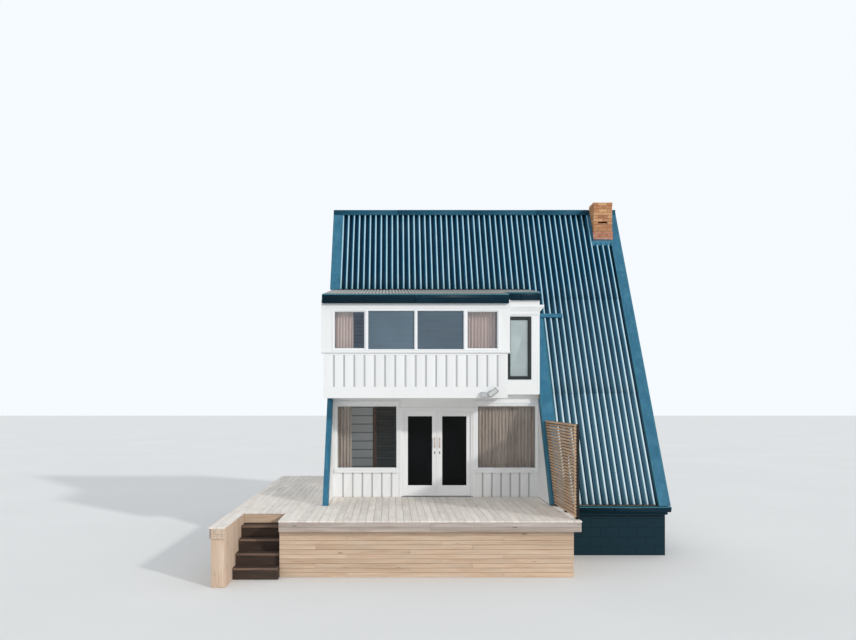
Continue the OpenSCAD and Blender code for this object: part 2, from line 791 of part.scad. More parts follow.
// A window frame with a head trim and a projecting sill
module recess_window(w0, w1) {
    difference() {
        block([w0 + fit, -recess_y - trim_out / 2, sill_z + fit],
              [w1 - fit, -recess_y + wall_t * 0.7, head_z - fit]);
        block([w0 + frame_w, -recess_y - trim_out, sill_z + frame_w / 2],
              [w1 - frame_w, -recess_y + wall_t, head_z - frame_w]);
    }
    block([w0 + fit, -recess_y - trim_out, head_z - fit], [w1 - fit, -recess_y - fit, head_z + trim_h]);
    block([w0 + fit, -recess_y - trim_out * 1.5, sill_z - sill_h], [w1 - fit, -recess_y - fit, sill_z + fit]);
}

module ground_window_frames() color([0.96, 0.96, 0.95]) {
    recess_window(-win_left_x, -win_left_end);
    recess_window(-win_right_x, recess_right - 5);
}

module recess_pane(w0, w1)
    block([w0 + frame_w + fit, -recess_y + wall_t / 4, sill_z + frame_w / 2 + fit],
          [w1 - frame_w - fit, -recess_y + wall_t / 4 + glass_t, head_z - frame_w - fit]);

module ground_glass() color([0.25, 0.3, 0.33, 0.5]) {
    recess_pane(-win_left_x, -win_left_end);
    recess_pane(-win_right_x, recess_right - 5);
}

module door_frame() color([0.95, 0.95, 0.95]) {
    y0 = -recess_y;
    y1 = -leaf_in;
    stop_y = -leaf_out - door_gap;
    difference() {
        block([jamb_x0 + fit, y0, floor_z], [jamb_x1 - fit, y1, frame_top - fit]);
        block([jamb_x0 + jamb_w, y0 - 1, floor_z + door_sill_h],
              [jamb_x1 - jamb_w, y1 + 1, frame_top - jamb_w]);
    }
    difference() {
        block([jamb_x0 + jamb_w - 1, y0, floor_z + door_sill_h - 1],
              [jamb_x1 - jamb_w + 1, stop_y, frame_top - jamb_w + 1]);
        block([jamb_x0 + jamb_w + stop_w, y0 - 1, floor_z],
              [jamb_x1 - jamb_w - stop_w, stop_y + 1, frame_top - jamb_w - stop_w]);
    }
    fixed_hinges();
    translate([-2 * door_mid, 0, 0]) mirror([1, 0, 0]) fixed_hinges();
}

// The lower and upper knuckle, the pin and the plate on the jamb of each left hinge
module fixed_hinges() for (z = hinge_zs) {
    translate([pivot_x, pivot_y, z - hinge_h / 2]) {
        cylinder(r = knuckle_r, h = hinge_h / 3 - fit, $fn = 32);
        cylinder(r = pin_r, h = hinge_h, $fn = 32);
        translate([0, 0, hinge_h * 2 / 3 + fit]) cylinder(r = knuckle_r, h = hinge_h / 3 - fit, $fn = 32);
    }
    for (dz = [-hinge_h / 2, hinge_h / 6 + fit])
        block([pivot_x - jamb_w + 5, -leaf_in - 1, z + dz],
              [pivot_x - pin_r, pivot_y + knuckle_wall, z + dz + hinge_h / 3 - fit]);
}

// The middle knuckle and its plate, part of the leaf
module leaf_hinges() for (z = hinge_zs) difference() {
    union() {
        translate([pivot_x, pivot_y, z - hinge_h / 6]) cylinder(r = knuckle_r, h = hinge_h / 3, $fn = 32);
        block([pivot_x, pivot_y, z - hinge_h / 6],
              [leaf_x0 + jamb_w, pivot_y + knuckle_wall, z + hinge_h / 6]);
        block([leaf_x0 + door_gap + knuckle_r, -leaf_in - 1, z - hinge_h / 6],
              [leaf_x0 + jamb_w, pivot_y + knuckle_wall, z + hinge_h / 6]);
    }
    translate([pivot_x, pivot_y, z - hinge_h]) cylinder(r = pin_r + pin_gap, h = 2 * hinge_h, $fn = 32);
}

// The left leaf: stiles and rails round one pane
module leaf() {
    difference() {
        block([leaf_x0, -leaf_out, leaf_z], [leaf_x0 + leaf_w, -leaf_in, leaf_top]);
        block([leaf_x0 + stile_w, -leaf_out - 1, leaf_z + bottom_rail],
              [leaf_x0 + leaf_w - stile_w, -leaf_in + 1, leaf_top - top_rail]);
    }
    leaf_hinges();
}

module leaf_glass()
    block([leaf_x0 + stile_w + fit, -leaf_out + (leaf_t - glass_t) / 2, leaf_z + bottom_rail + fit],
          [leaf_x0 + leaf_w - stile_w - fit, -leaf_out + (leaf_t + glass_t) / 2, leaf_top - top_rail - fit]);

// A pull bar on two posts on each face of the left leaf
module leaf_pulls() {
    x = leaf_x0 + leaf_w - stile_w / 2;
    r = 8;
    out = 45;
    for (side = [[-leaf_out - fit, -1], [-leaf_in + fit, 1]]) {
        y = side[0] + side[1] * out;
        translate([x, y, floor_z + pull_z - pull_len / 2]) cylinder(r = r, h = pull_len, $fn = 24);
        for (dz = [-pull_len / 3, pull_len / 3])
            translate([x, side[0], floor_z + pull_z + dz]) rotate([-90 * side[1], 0, 0])
                cylinder(r = r * 0.7, h = out, $fn = 24);
    }
}

module mirror_leaf() translate([-2 * door_mid, 0, 0]) mirror([1, 0, 0]) children();

module door_left() color([0.95, 0.95, 0.95]) leaf();

module door_right() color([0.95, 0.95, 0.95]) mirror_leaf() leaf();

module door_left_glass() color([0.05, 0.06, 0.07, 0.6]) leaf_glass();

module door_right_glass() color([0.05, 0.06, 0.07, 0.6]) mirror_leaf() leaf_glass();

module door_left_pulls() color([0.7, 0.7, 0.7]) leaf_pulls();

module door_right_pulls() color([0.7, 0.7, 0.7]) mirror_leaf() leaf_pulls();

module parapet() color([0.94, 0.94, 0.93]) difference() {
    block([-gable_x, -box_y, ceiling_z], [box_right, -box_in, parapet_z]);
    grooves_x(-gable_x, box_right, -box_y - 1, ceiling_z + foot_board, parapet_z - 40);
}

// The window wall over the parapet, its top cut to the low roof
module upper_wall() color([0.94, 0.94, 0.93]) {
    band_top = band_z + band_h;
    difference() {
        along_x(-gable_x - box_ear, box_right + corner_w, [
            [-box_y, parapet_z + fit], [-box_in, parapet_z + fit],
            low_pt(box_in, low_bot - fit), low_pt(box_y, low_bot - fit)
        ]);
        block([-band_left, -box_y - 1, band_z], [band_right, -box_in + 1, band_top]);
        // The seat of the sill that runs along the whole wall
        block([-gable_x - box_ear - 1, -box_y - 1, parapet_z],
              [box_right + corner_w + 1, -box_in + 1, band_z + 1]);
    }
}

band_in = band_left + band_right;
fixed_w = (band_in - 2 * outer_win_w) / 2;
// Left edges and widths of the four windows in the band
band_windows = [
    [-band_left, outer_win_w],
    [-band_left + outer_win_w, fixed_w],
    [-band_left + outer_win_w + fixed_w, fixed_w],
    [-band_left + outer_win_w + 2 * fixed_w, outer_win_w]
];

// The clear opening of window i, measured in from the mullions and the frame
function band_x0(i) = band_windows[i][0] + (i == 0 ? band_edge_w : mullion_w / 2);
function band_x1(i) = band_windows[i][0] + band_windows[i][1] - (i == 3 ? band_edge_w : mullion_w / 2);
function band_frame(i) = (i == 0 || i == 3) ? sash_w : 0;

module upper_window_frames() color([0.97, 0.97, 0.96]) {
    z0 = band_z + fit;
    z1 = band_z + band_h - fit;
    rail = band_rail_h;
    difference() {
        block([-band_left + fit, -box_y - trim_out / 2, z0], [band_right - fit, -box_in - wall_t / 4, z1]);
        for (i = [0:3])
            block([band_x0(i), -box_y - trim_out, z0 + rail], [band_x1(i), -box_in, z1 - rail]);
    }
    // Sashes in the two outer windows
    for (i = [0, 3]) difference() {
        block([band_x0(i) - 1, -box_y + 10, z0 + rail - 1], [band_x1(i) + 1, -box_y + 45, z1 - rail + 1]);
        block([band_x0(i) + sash_w, -box_y, z0 + rail + sash_w],
              [band_x1(i) - sash_w, -box_in, z1 - rail - sash_w]);
    }
    // The sill, its top sloping to a front edge with a drip under it
    along_x(-gable_x - box_ear, box_right + corner_w, [
        [-box_in, band_z + 1], [-box_y, band_z + 1], [-box_y - upper_sill_out, band_z - 8],
        [-box_y - upper_sill_out, parapet_z + fit + 14], [-box_y - upper_sill_out + 10, parapet_z + fit + 14],
        [-box_y - upper_sill_out + 10, parapet_z + fit + 20], [-box_y - 12, parapet_z + fit + 20],
        [-box_y - 12, parapet_z + fit], [-box_in, parapet_z + fit]
    ]);
}

module upper_glass() color([0.35, 0.42, 0.47, 0.5]) for (i = [0:3]) {
    rail = band_rail_h + band_frame(i);
    block([band_x0(i) + band_frame(i) + fit, -box_y + 20, band_z + rail + 2 * fit],
          [band_x1(i) - band_frame(i) - fit, -box_y + 20 + glass_t, band_z + band_h - rail - 2 * fit]);
}

// Side wall of the box, between the box's front wall and the main roof's lining
module box_side_left() color([0.93, 0.93, 0.92])
    along_x(-gable_x, -inner_x, [
        [-box_in, ceiling_z], low_pt(box_in, low_bot - fit), meet_pt(panel_bot + fit, low_bot - fit),
        slope_pt(ceiling_z, panel_bot + fit)
    ]);

module box_side_right() color([0.93, 0.93, 0.92])
    along_x(box_right - wall_t, box_right, [
        [-box_in, ceiling_z], low_pt(box_in, low_bot - fit),
        low_pt(bay_y - wall_t, low_bot - fit), [-bay_y + wall_t, ceiling_z]
    ]);

module bay_walls() color([0.94, 0.94, 0.93]) difference() {
    union() {
        along_x(box_right, recess_right, [
            [-bay_y, bay_z], low_pt(bay_y, low_bot - fit),
            low_pt(bay_y - wall_t, low_bot - fit), [-bay_y + wall_t, bay_z]
        ]);
        along_x(recess_right - wall_t, recess_right, [
            [-bay_y + wall_t / 2, bay_z], low_pt(bay_y - wall_t / 2, low_bot - fit),
            meet_pt(panel_bot + fit, low_bot - fit), slope_pt(upper_z + fit, panel_bot + fit),
            [-recess_y - fit, upper_z + fit], [-recess_y - fit, bay_z]
        ]);
    }
    block([tall_x, -bay_y - 1, tall_z], [tall_x + tall_w, -bay_y + wall_t + 1, tall_z + tall_h]);
}

module bay_window_frame() color([0.13, 0.15, 0.16]) difference() {
    z = tall_z;
    block([tall_x + fit, -bay_y - trim_out / 3, z + fit],
          [tall_x + tall_w - fit, -bay_y + wall_t * 0.6, z + tall_h - fit]);
    block([tall_x + tall_frame, -bay_y - trim_out, z + tall_frame],
          [tall_x + tall_w - tall_frame, -bay_y + wall_t, z + tall_h - tall_frame]);
}

module bay_glass() color([0.5, 0.55, 0.57, 0.5]) {
    z = tall_z + tall_frame + fit;
    block([tall_x + tall_frame + fit, -bay_y + 25, z],
          [tall_x + tall_w - tall_frame - fit, -bay_y + 25 + glass_t, z + tall_h - 2 * tall_frame - 2 * fit]);
}

// A coved hood whose right end is splayed
module bay_hood() color([0.97, 0.97, 0.96]) {
    z0 = hood_z;
    z1 = z0 + hood_h;
    lip = 40;
    intersection() {
        along_x(box_right + fit, recess_right + hood_splay, [
            [-bay_y - fit, z0], [-bay_y - hood_out * 0.25, z0],
            [-bay_y - hood_out * 0.35, z0 + hood_h * 0.3], [-bay_y - hood_out * 0.65, z0 + hood_h * 0.55],
            [-bay_y - hood_out, z1 - lip], [-bay_y - hood_out, z1], [-bay_y - fit, z1]
        ]);
        along_y(-bay_y - hood_out - 1, -bay_y, [
            [box_right, z0 - 1], [recess_right, z0 - 1], [recess_right, z0 + hood_h * 0.3],
            [recess_right + hood_splay, z1 - lip], [recess_right + hood_splay, z1 + 1], [box_right, z1 + 1]
        ]);
    }
}

module low_panel_part(x0, x1, y0)
    along_x(x0, x1, [
        low_pt(y0, low_top), low_pt(y0, low_bot),
        meet_pt(panel_bot, low_bot), meet_pt(panel_bot, low_top)
    ]);

module low_roof_panel() color([0.9, 0.9, 0.88]) {
    low_panel_part(low_x0, box_right + low_over, low_front);
    low_panel_part(box_right, recess_right, bay_front);
}

module low_roof_sheets() color([0.78, 0.78, 0.76]) {
    end = (low_eave_y - meet_y(panel_top + fit, -low_sheet_d)) / cd - 6;
    bay_start = (box_y - bay_y) / cd;
    on_low() translate([0, end, -low_sheet_d])
        corrugated(low_x0, box_right + low_over, end, low_rib_pitch, low_rib_depth, low_sheet_t, 0);
    on_low() translate([0, end, -low_sheet_d])
        corrugated(box_right + low_over + fit, recess_right, end - bay_start,
                   low_rib_pitch, low_rib_depth, low_sheet_t, 0);
}

module low_roof_gutters() color([0.03, 0.2, 0.26]) {
    gutter(low_x0 - 2 * gutter_t, box_right + low_over, box_y + fit + 5, low_gutter_z,
           gutter_w, low_gutter_h);
    gutter(box_right + low_over + gutter_t * 4, recess_right + 10, bay_y + fit + 5,
           bay_gutter_z, gutter_w * 0.8, bay_gutter_h);
}

module chimney() color([0.72, 0.45, 0.3]) difference() {
    union() {
        block([stack_x, -stack_y, ledge_z - 1], [stack_x + stack_w, -stack_back, stack_top]);
        block([stack_x - ledge_w, -stack_y - ledge_w, 0],
              [stack_x + stack_w + ledge_w, -stack_back + ledge_w, ledge_z]);
    }
    translate([stack_x + stack_w / 2, -(stack_y + stack_back) / 2, stack_top - flue_depth / 2 + 1])
        cube([flue_w, flue_w, flue_depth], center = true);
    translate([stack_x + stack_w / 2, -stack_y, stack_top - slot_down])
        cube([slot_w, 2 * slot_deep, slot_h], center = true);
}

// Flashing round the stack: a skirt on the crests, an upstand and a strip at the left
module stack_apron() color([0.3, 0.56, 0.66]) {
    x0 = stack_x - ledge_w;
    face = stack_y + ledge_w + fit;
    // The stack's front face meets the crests this far down the slope
    u = (face + flash_n * sp) / cp;
    z = slope_z(face, flash_n);
    difference() {
        union() {
            on_front() block([x0 - apron_side, -u - apron_len, flash_n],
                             [half_len - verge_w - fit, -u + 20, flash_n + flash_t]);
            on_front() block([x0 - apron_side, -u - 1, flash_n],
                             [x0 - fit, -ridge_wing / 2, flash_n + flash_t]);
            block([x0, -face - flash_t, z - 2], [half_len - verge_w - fit, -face, z + apron_up]);
        }
        block([x0 - fit, -face, floor_z], [half_len, -stack_back + ledge_w + fit, stack_top]);
    }
}

// Deck boards running front to back, spread evenly between x0 and x1
module boards(x0, x1, y0, y1) {
    n = max(1, round((x1 - x0 + deck_gap) / (deck_board + deck_gap)));
    pitch = (x1 - x0 + deck_gap) / n;
    for (i = [0:n - 1])
        block([x0 + i * pitch, y0, deck_z], [x0 + (i + 1) * pitch - deck_gap, y1, floor_z]);
}

module deck_boards_front() color([0.72, 0.68, 0.63]) {
    front = -deck_front + fascia_t + fit;
    house = -floor_y - deck_gap;
    boards(-gable_x, -inner_x - deck_gap, front, house);
    boards(-inner_x + deck_gap, recess_right - flash_t - deck_gap, front, -recess_y - deck_gap);
    boards(recess_right, deck_right - fascia_t - fit, front, house);
}

module deck_boards_side() color([0.7, 0.66, 0.61]) {
    left = -deck_left + fascia_t + fit;
    back = deck_back - fascia_t - fit;
    boards(left, -stair_left - deck_gap, -side_wall_y + fascia_t + fit, back);
    boards(-stair_left, -stair_right - deck_gap, -stair_top_y, back);
    boards(-stair_right + fascia_t + fit, -gable_x - deck_gap, -deck_front + fascia_t + fit, back);
}

// Joists along X between x0 and x1
module joists(x0, x1, y0, y1) {
    n = ceil((y1 - y0 - joist_w) / joist_step);
    for (i = [0:n])
        translate([x0, y0 + (y1 - y0 - joist_w) * i / n, deck_z - joist_h])
            cube([x1 - x0, joist_w, joist_h - fit]);
}

// Bearers along Y, each on three posts
module bearers(xs, y0, y1) {
    top = deck_z - joist_h - fit;
    for (x = xs) {
        block([x, y0, top - post_w], [x + post_w, y1, top]);
        for (t = [0, 0.5, 1])
            translate([x, y0 + (y1 - y0 - post_w) * t, 0]) cube([post_w, post_w, top - post_w - fit]);
    }
}

clad_in = clad_back + clad_t;

module deck_frame_front() color([0.5, 0.42, 0.34]) {
    x0 = -stair_right + fascia_t + fit;
    x1 = deck_right - clad_in - post_w - fit;
    joists(x0, deck_right - fascia_t - fit, -deck_front + fascia_t + fit, -floor_y - fit);
    bearers([for (i = [0:3]) x0 + (x1 - x0) * i / 3], -deck_front + clad_in + fit, -floor_y - fit);
}

module deck_frame_side() color([0.5, 0.42, 0.34]) {
    x0 = -deck_left + clad_in + fit;
    mid = -stair_right - fit;
    front = -stair_top_y + riser_t + fit;
    back = deck_back - fascia_t - fit;
    joists(-deck_left + fascia_t + fit, mid, front, back);
    joists(mid + 2 * fit, -gable_x - fit, -floor_y + fit, back);
    bearers([x0, (x0 + mid - post_w) / 2], front, deck_back - clad_in - fit);
    bearers([-gable_x - fit - post_w], -floor_y + fit, deck_back - clad_in - fit);
}

module deck_fascia() color([0.62, 0.57, 0.52]) {
    z0 = floor_z - fascia_h;
    block([-stair_right, -deck_front, z0], [deck_right, -deck_front + fascia_t, floor_z]);
    block([deck_right - fascia_t, -deck_front, z0], [deck_right, -floor_y, floor_z - deck_t / 2]);
    block([deck_right - fascia_t, -deck_front, z0], [deck_right, -floor_y - deck_gap, floor_z]);
    block([-stair_right, -deck_front, z0], [-stair_right + fascia_t, -stair_top_y - fit, floor_z]);
    block([-deck_left, -side_wall_y, z0], [-deck_left + fascia_t, deck_back, floor_z]);
    block([-deck_left, deck_back - fascia_t, z0], [-gable_x - deck_gap, deck_back, floor_z]);
    block([-deck_left, -side_wall_y, z0], [-stair_left, -side_wall_y + fascia_t, floor_z]);
}

// Grooves between the boards of a boarded wall, cut all round it
module clad_wall(a, b) {
    n = round((b[2] - a[2]) / clad_board);
    g = 6;
    difference() {
        block(a, b);
        for (i = [1:n - 1]) {
            z = a[2] + (b[2] - a[2]) * i / n;
            difference() {
                block([a[0] - 1, a[1] - 1, z - g / 2], [b[0] + 1, b[1] + 1, z + g / 2]);
                block([a[0] + g, a[1] + g, z - g], [b[0] - g, b[1] - g, z + g]);
            }
        }
    }
}

module deck_cladding() color([0.78, 0.66, 0.55]) {
    top = min(deck_z - joist_h, base_z, floor_z - fascia_h) - fit;
    y0 = -deck_front + clad_back;
    x1 = deck_right - clad_back;
    clad_wall([-stair_right, y0, 0], [x1, y0 + clad_t, top]);
    clad_wall([x1 - clad_t, y0 + clad_t + fit, 0], [x1, -floor_y + base_inset - fit, top]);
    clad_wall([-stair_right, y0 + clad_t + fit, 0], [-stair_right + clad_t, -stair_top_y, top]);
    clad_wall([-deck_left + clad_back, -stair_top_y + riser_t + fit, 0],
              [-deck_left + clad_in, deck_back - clad_back, top]);
    clad_wall([-deck_left + clad_in + fit, deck_back - clad_in, 0],
              [-gable_x - fit, deck_back - clad_back, top]);
}

// Top and back edge of tread i, counted from the deck down
function tread_z(i) = floor_z - riser * i;
function tread_y(i) = -stair_top_y - going * (i - 1);

// Closed treads and risers on two stringers cut to the steps
module stairs() color([0.45, 0.34, 0.26]) {
    x0 = -stair_left + fit;
    x1 = -stair_right - fit;
    n = risers - 1;
    for (i = [1:n])
        block([x0, tread_y(i) - going - nosing, tread_z(i) - tread_t], [x1, tread_y(i) - fit, tread_z(i)]);
    for (i = [1:risers])
        block([x0, tread_y(i), i > n ? 0 : tread_z(i) - tread_t],
              [x1, tread_y(i) + riser_t, i == 1 ? deck_z - fit : tread_z(i - 1) - tread_t - fit]);
    teeth = [for (i = [1:n]) each [
        [tread_y(i) + riser_t + fit, tread_z(i) - tread_t - fit],
        [tread_y(i + 1) + riser_t + fit, tread_z(i) - tread_t - fit]
    ]];
    foot = [
        [tread_y(risers) + riser_t + fit, 0], [tread_y(n - 1), 0],
        [tread_y(1) + riser_t + fit, tread_z(1) - tread_t - 1.5 * riser]
    ];
    for (x = [x0, x1 - stringer_t]) along_x(x, x + stringer_t, concat(teeth, foot));
}

// The boxed side wall left of the stairs, boarded outside and hollow inside
module stair_wall() color([0.74, 0.62, 0.5]) {
    y0 = -side_wall_y + fascia_t + fit;
    difference() {
        block([-deck_left + fascia_t + fit, y0, 0], [-stair_left - fit, -stair_top_y - fit, deck_z - fit]);
        block([-deck_left + fascia_t + clad_t, y0 + clad_t, -1],
              [-stair_left - clad_t, -stair_top_y - clad_t, deck_z + 1]);
    }
}

screen_x = deck_right - screen_post;

// Where the screen meets the roof at height z
function screen_y(z) = slope_y(z, flash_n + flash_t + screen_gap);

module screen_posts() color([0.2, 0.2, 0.2]) {
    top = floor_z + screen_h;
    rail = 60;
    x1 = screen_x + screen_post;
    for (y = [-screen_front, -(screen_front + screen_y(floor_z)) / 2])
        block([screen_x, y, floor_z], [x1, y + screen_post_d, top]);
    block([screen_x, -screen_front + 1, top - rail], [x1, -screen_y(top - rail) - 1, top]);
    // The raking post that lies along the roof
    along_x(screen_x, x1, [
        [-screen_y(floor_z), floor_z], [-screen_y(top), top],
        [-screen_y(top) - screen_post_d, top], [-screen_y(floor_z) - screen_post_d, floor_z]
    ]);
}

module screen_slats() color([0.78, 0.62, 0.46]) {
    n = floor((screen_h - slat_h) / slat_step);
    for (i = [0:n]) {
        z = floor_z + screen_h - slat_h - slat_step * i;
        along_x(screen_x - fit - slat_t, screen_x - fit, [
            [-screen_front, z], [-screen_front, z + slat_h],
            [-screen_y(z + slat_h), z + slat_h], [-screen_y(z), z]
        ]);
    }
}

module curtains() color([0.75, 0.68, 0.62]) {
    y = -box_in + curtain_in;
    top = low_z(box_in - curtain_in, low_bot) - fit;
    foot = upper_z + hem_gap;
    block([-band_left + frame_w, y, foot], [-band_left + frame_w + curtain_a_w, y + curtain_t, top]);
    block([band_right - frame_w - curtain_b_w, y, foot], [band_right - frame_w, y + curtain_t, top]);
    g = -recess_y + wall_t + curtain_in;
    gtop = ceiling_z - fit;
    gfoot = floor_z + hem_gap;
    block([-win_left_x + 5, g, gfoot], [-win_left_x + 5 + curtain_c_w + frame_w, g + curtain_t, gtop]);
    block([-win_right_x + frame_w, g, gfoot], [recess_right - frame_w, g + curtain_t, gtop]);
}

module inner_wall() color([0.75, 0.76, 0.75]) {
    clad_wall([-inner_x + fit, -inner_y, floor_z], [-inner_end, -inner_y + inner_t, ceiling_z - fit]);
    block([-inner_end + fit, -inner_y - 10, floor_z],
          [-inner_end + inner_post, -inner_y + inner_t + 10, ceiling_z - fit]);
}

// A floodlight: a gear box on the foot board and a head tilted on a stub arm
module outdoor_lamp() color([0.75, 0.75, 0.76]) {
    x = box_right - lamp_in;
    y = -box_y - fit;
    z = ceiling_z + lamp_lift;
    front = y - lamp_box_d;
    top = z + lamp_box_h;
    along_x(x, x + lamp_box_w, [
        [y, z], [y, top], [y - lamp_box_d * 0.58, top], [front, z + lamp_box_h * 0.55], [front, z]
    ]);
    head = [x + lamp_box_w + lamp_w * 0.42, front + 3, z + lamp_box_h * 0.85];
    // The stub arm and its round foot
    translate([head[0], y, head[2]]) rotate([90, 0, 0]) cylinder(r = 12, h = lamp_box_d - 3, $fn = 24);
    translate([head[0], y, head[2]]) rotate([90, 0, 0]) cylinder(r = 28, h = 60, $fn = 32);
    translate(head) rotate([0, -lamp_tilt, 0]) rotate([-20, 0, 0])
        cube([lamp_w, lamp_head_d, lamp_w * 0.5], center = true);
}

base_walls();
ground_floor();
upper_floor();
roof_panel_upper();
roof_panel_right();
roof_panel_back();
roof_sheets_upper();
roof_sheets_right();
roof_sheets_back();
ridge_cap();
verge_left();
verge_right();
recess_flashing();
eave_gutters();
gable_wall_left();
gable_wall_right();
gable_window_frames();
gable_glass();
recess_cheek();
wall_ground_left();
wall_ground_right();
wall_over_doors();
ground_window_frames();
ground_glass();
door_frame();
door_left();
door_left_glass();
door_left_pulls();
door_right();
door_right_glass();
door_right_pulls();
parapet();
upper_wall();
upper_window_frames();
upper_glass();
box_side_left();
box_side_right();
bay_walls();
bay_window_frame();
bay_glass();
bay_hood();
low_roof_panel();
low_roof_sheets();
low_roof_gutters();
chimney();
stack_apron();
deck_boards_front();
deck_boards_side();
deck_frame_front();
deck_frame_side();
deck_fascia();
deck_cladding();
stairs();
stair_wall();
screen_posts();
screen_slats();
curtains();
inner_wall();
outdoor_lamp();
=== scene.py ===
"""The looks of the beach house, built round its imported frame. Metres, +Z up, front towards -Y."""
import json
import math
import random
from itertools import product

import bmesh
import bpy
from mathutils import Matrix, Vector, noise


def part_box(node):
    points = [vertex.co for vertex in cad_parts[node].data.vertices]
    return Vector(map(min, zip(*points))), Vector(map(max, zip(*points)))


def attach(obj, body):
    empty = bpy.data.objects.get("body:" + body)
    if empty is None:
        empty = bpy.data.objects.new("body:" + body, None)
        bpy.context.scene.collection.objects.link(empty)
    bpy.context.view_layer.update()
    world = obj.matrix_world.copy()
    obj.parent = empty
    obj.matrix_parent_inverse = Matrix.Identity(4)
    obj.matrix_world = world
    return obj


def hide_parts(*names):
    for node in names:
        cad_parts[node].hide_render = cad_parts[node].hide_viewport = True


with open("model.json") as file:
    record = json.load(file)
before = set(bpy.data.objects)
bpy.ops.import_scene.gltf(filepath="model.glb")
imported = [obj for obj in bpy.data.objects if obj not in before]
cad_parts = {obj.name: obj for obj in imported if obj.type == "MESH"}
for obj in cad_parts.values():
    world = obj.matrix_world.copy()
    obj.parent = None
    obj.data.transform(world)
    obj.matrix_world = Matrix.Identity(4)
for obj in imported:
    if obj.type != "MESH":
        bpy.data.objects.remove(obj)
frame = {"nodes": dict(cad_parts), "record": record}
NODES = frame["nodes"]
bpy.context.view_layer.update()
RNG = random.Random(11)

# Camera, light and stage, with the photo's size, focal length and vanishing point in pixels
WIDTH, HEIGHT, FOCUS = 856, 640, 791
VANISH_X, VANISH_Y = 391, 400
SENSOR = 36
cam_data = bpy.data.cameras.new("camera")
cam = bpy.data.objects.new("camera", cam_data)
bpy.context.scene.collection.objects.link(cam)
cam.location = (-2.260, -21.44, 3.40)
cam.rotation_euler = (math.pi / 2, 0, 0)
cam_data.sensor_width = SENSOR
cam_data.lens = FOCUS / WIDTH * SENSOR
cam_data.shift_x = (WIDTH / 2 - VANISH_X) / WIDTH
cam_data.shift_y = (VANISH_Y - HEIGHT / 2) / WIDTH
cam_data.clip_end = 400
bpy.context.scene.camera = cam

AMBIENT, SUN = 0.74, 1.4
SUN_WAY = Vector((-0.66, 0.64, -0.39))


def stage_lights():
    """A sky that lights the scene a little less than it shows, and one soft sun."""
    world = bpy.data.worlds.new("studio")
    bpy.context.scene.world = world
    world.use_nodes = True
    t = world.node_tree
    sky = t.nodes["Background"]
    path = t.nodes.new("ShaderNodeLightPath")
    seen = path.outputs["Is Camera Ray"]
    for ray in ("Is Glossy Ray", "Is Transmission Ray"):
        add = t.nodes.new("ShaderNodeMath")
        add.operation = "MAXIMUM"
        t.links.new(seen, add.inputs[0])
        t.links.new(path.outputs[ray], add.inputs[1])
        seen = add.outputs[0]
    level = t.nodes.new("ShaderNodeMapRange")
    t.links.new(seen, level.inputs["Value"])
    level.inputs["To Min"].default_value = AMBIENT
    level.inputs["To Max"].default_value = 1.0
    sky.inputs["Color"].default_value = (0.92, 0.96, 1.0, 1)
    t.links.new(level.outputs["Result"], sky.inputs["Strength"])
    lamp = bpy.data.lights.new("key", "SUN")
    lamp.energy = SUN
    lamp.angle = math.radians(3)
    lamp.color = (1.0, 0.98, 0.95)
    key = bpy.data.objects.new("key", lamp)
    key.rotation_euler = SUN_WAY.to_track_quat("-Z", "Y").to_euler()
    bpy.context.scene.collection.objects.link(key)


stage_lights()
bpy.context.scene.view_settings.view_transform = "Standard"

# Materials
LOOKS = {}
GRIME = (0.52, 0.5, 0.45, 1)


def srgb(rgb):
    """A colour given as it looks on screen, 0 to 255, as the linear values that nodes take."""
    def lin(c):
        c /= 255
        return c / 12.92 if c <= 0.04045 else ((c + 0.055) / 1.055) ** 2.4
    return (*map(lin, rgb), 1.0)


def scaled(colour, by):
    return [c * by for c in colour[:3]] + [1]


def grain(along, length, across):
    """Pattern scales for a grain that runs along one axis."""
    scales = [across] * 3
    scales[along] = length
    return scales


